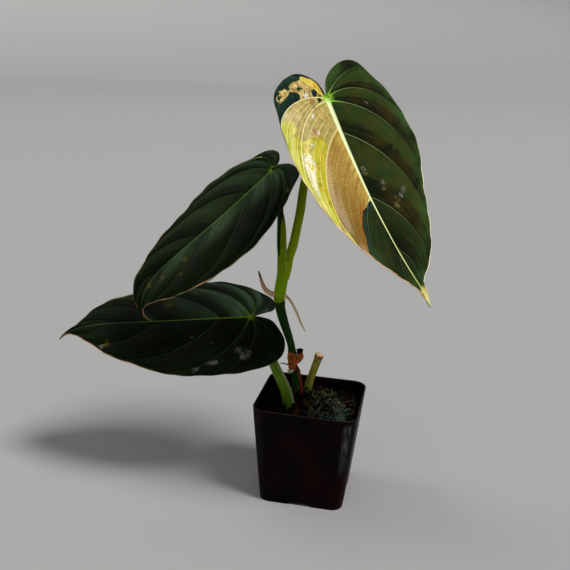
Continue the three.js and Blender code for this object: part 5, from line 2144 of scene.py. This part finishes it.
@dataclass(frozen=True)
class SoftLight:
    """A distant, broad light that shines on the plant from an azimuth and an elevation."""

    name: str
    azimuth: float
    elevation: float
    breadth: float
    power: float
    colour: Place = (1, 1, 1)

    def build(self) -> None:
        """Hangs the light, turned to the plant. Its breadth is an angle in degrees."""
        light = bpy.data.lights.new(self.name, "SUN")
        light.angle = math.radians(self.breadth)
        light.energy = self.power
        light.color = self.colour
        lamp = add_object(self.name, light)
        lamp.location = direction_to(self.azimuth, self.elevation)
        lamp.rotation_euler = lamp.location.to_track_quat("Z", "Y").to_euler()


@dataclass(frozen=True)
class Studio:
    """Pale floor that curves up into a backdrop all round, soft lights and the camera, in metres."""

    floor_radius: float = 6.0
    curve_radius: float = 2.0
    wall_top: float = 5.0
    sides: int = 96
    floor_tone: Tone = (0.35, 0.352, 0.355, 1)
    wall_tone: Tone = (0.44, 0.442, 0.445, 1)
    world_tone: Tone = (1, 1, 1, 1)
    world_strength: float = 0.1
    camera_place: Place = (0.0622, -0.4587, 0.2673)
    camera_azimuth: float = 10.2
    camera_elevation: float = 16.1
    camera_roll: float = 2.9
    focal_pixels: float = 800.0
    frame_pixels: float = 570.0
    sensor_width: float = 36.0
    lights: tuple[SoftLight, ...] = (
        SoftLight("key_light", 68, 58, 18, 2.5, (1, 0.98, 0.95)),
        SoftLight("window_fill", -98, 40, 26, 0.75, (0.96, 1, 0.98)),
        SoftLight("front_fill", -8, 55, 50, 0.3),
        SoftLight("back_fill", -156, 42, 40, 0.25),
    )

    def floor(self) -> None:
        """Turns a profile of a flat floor, a quarter circle and a wall round the upright axis."""
        bend = np.linspace(0, np.pi / 2, 24)[1:]
        end = self.floor_radius + self.curve_radius
        r = np.concatenate([np.linspace(0.001, self.floor_radius, 12),
                            self.floor_radius + self.curve_radius * np.sin(bend), [end]])[:, None]
        z = np.concatenate([np.zeros(12), self.curve_radius * (1 - np.cos(bend)), [self.wall_top]])[:, None]
        turn = np.linspace(0, 2 * np.pi, self.sides, endpoint=False)
        points = np.stack([r * np.cos(turn), r * np.sin(turn), z + 0 * turn], -1)
        triangles = grid_triangles(len(points), self.sides, ring=True)
        mesh = bpy.data.meshes.new("studio_floor")
        mesh.from_pydata(points.reshape(-1, 3).tolist(), [], triangles[:, ::-1].tolist())
        mesh.polygons.foreach_set("use_smooth", np.ones(len(triangles), bool))
        f = Finish("studio_paper")
        paper = f.paint(self.floor_tone, (f.height.rise(0, 900), self.wall_tone))
        mesh.materials.append(f.dress(Base_Color=paper, Roughness=0.9, Specular_IOR_Level=0.1))
        backdrop = add_object("studio_floor", mesh)

    def world(self) -> None:
        """Even pale light from all round."""
        world = bpy.data.worlds.new("studio_light")
        world.use_nodes = True
        background = world.node_tree.nodes["Background"]
        background.inputs["Color"].default_value = self.world_tone
        background.inputs["Strength"].default_value = self.world_strength
        bpy.context.scene.world = world

    def camera(self) -> None:
        """Sets the camera by its azimuth, elevation and roll, with the lens from its focal length in
        pixels: focal pixels times the sensor's width over the frame's."""
        data = bpy.data.cameras.new("camera")
        data.sensor_width = self.sensor_width
        data.lens = self.focal_pixels * self.sensor_width / self.frame_pixels
        data.clip_start = 0.01
        back = direction_to(self.camera_azimuth, self.camera_elevation)
        level = (-back).cross(Vector((0, 0, 1))).normalized()
        steep = level.cross(-back)
        roll = math.radians(self.camera_roll)
        right = math.cos(roll) * level + math.sin(roll) * steep
        up = math.cos(roll) * steep - math.sin(roll) * level
        turn = Matrix((right, up, back)).transposed().to_4x4()
        camera = add_object("camera", data)
        camera.matrix_world = Matrix.Translation(self.camera_place) @ turn
        bpy.context.scene.camera = camera

    def build(self) -> None:
        """Sets the whole stage."""
        settings = bpy.context.scene.view_settings
        settings.view_transform = "Standard"
        settings.look = "Medium High Contrast"
        self.camera()
        self.floor()
        self.world()
        for light in self.lights:
            light.build()


def main() -> None:
    """Builds the studio, the pot with its mix and moss, and the plant, and reports each piece."""
    logging.basicConfig(level=logging.INFO, format="%(name)s: %(message)s")
    Studio().build()
    pot, mix = Pot(), PottingMix()
    pot.build()
    mix.build(pot)
    for moss in MOSSES:
        moss.build(mix)
    Plant().build()


if __name__ == "__main__":
    main()
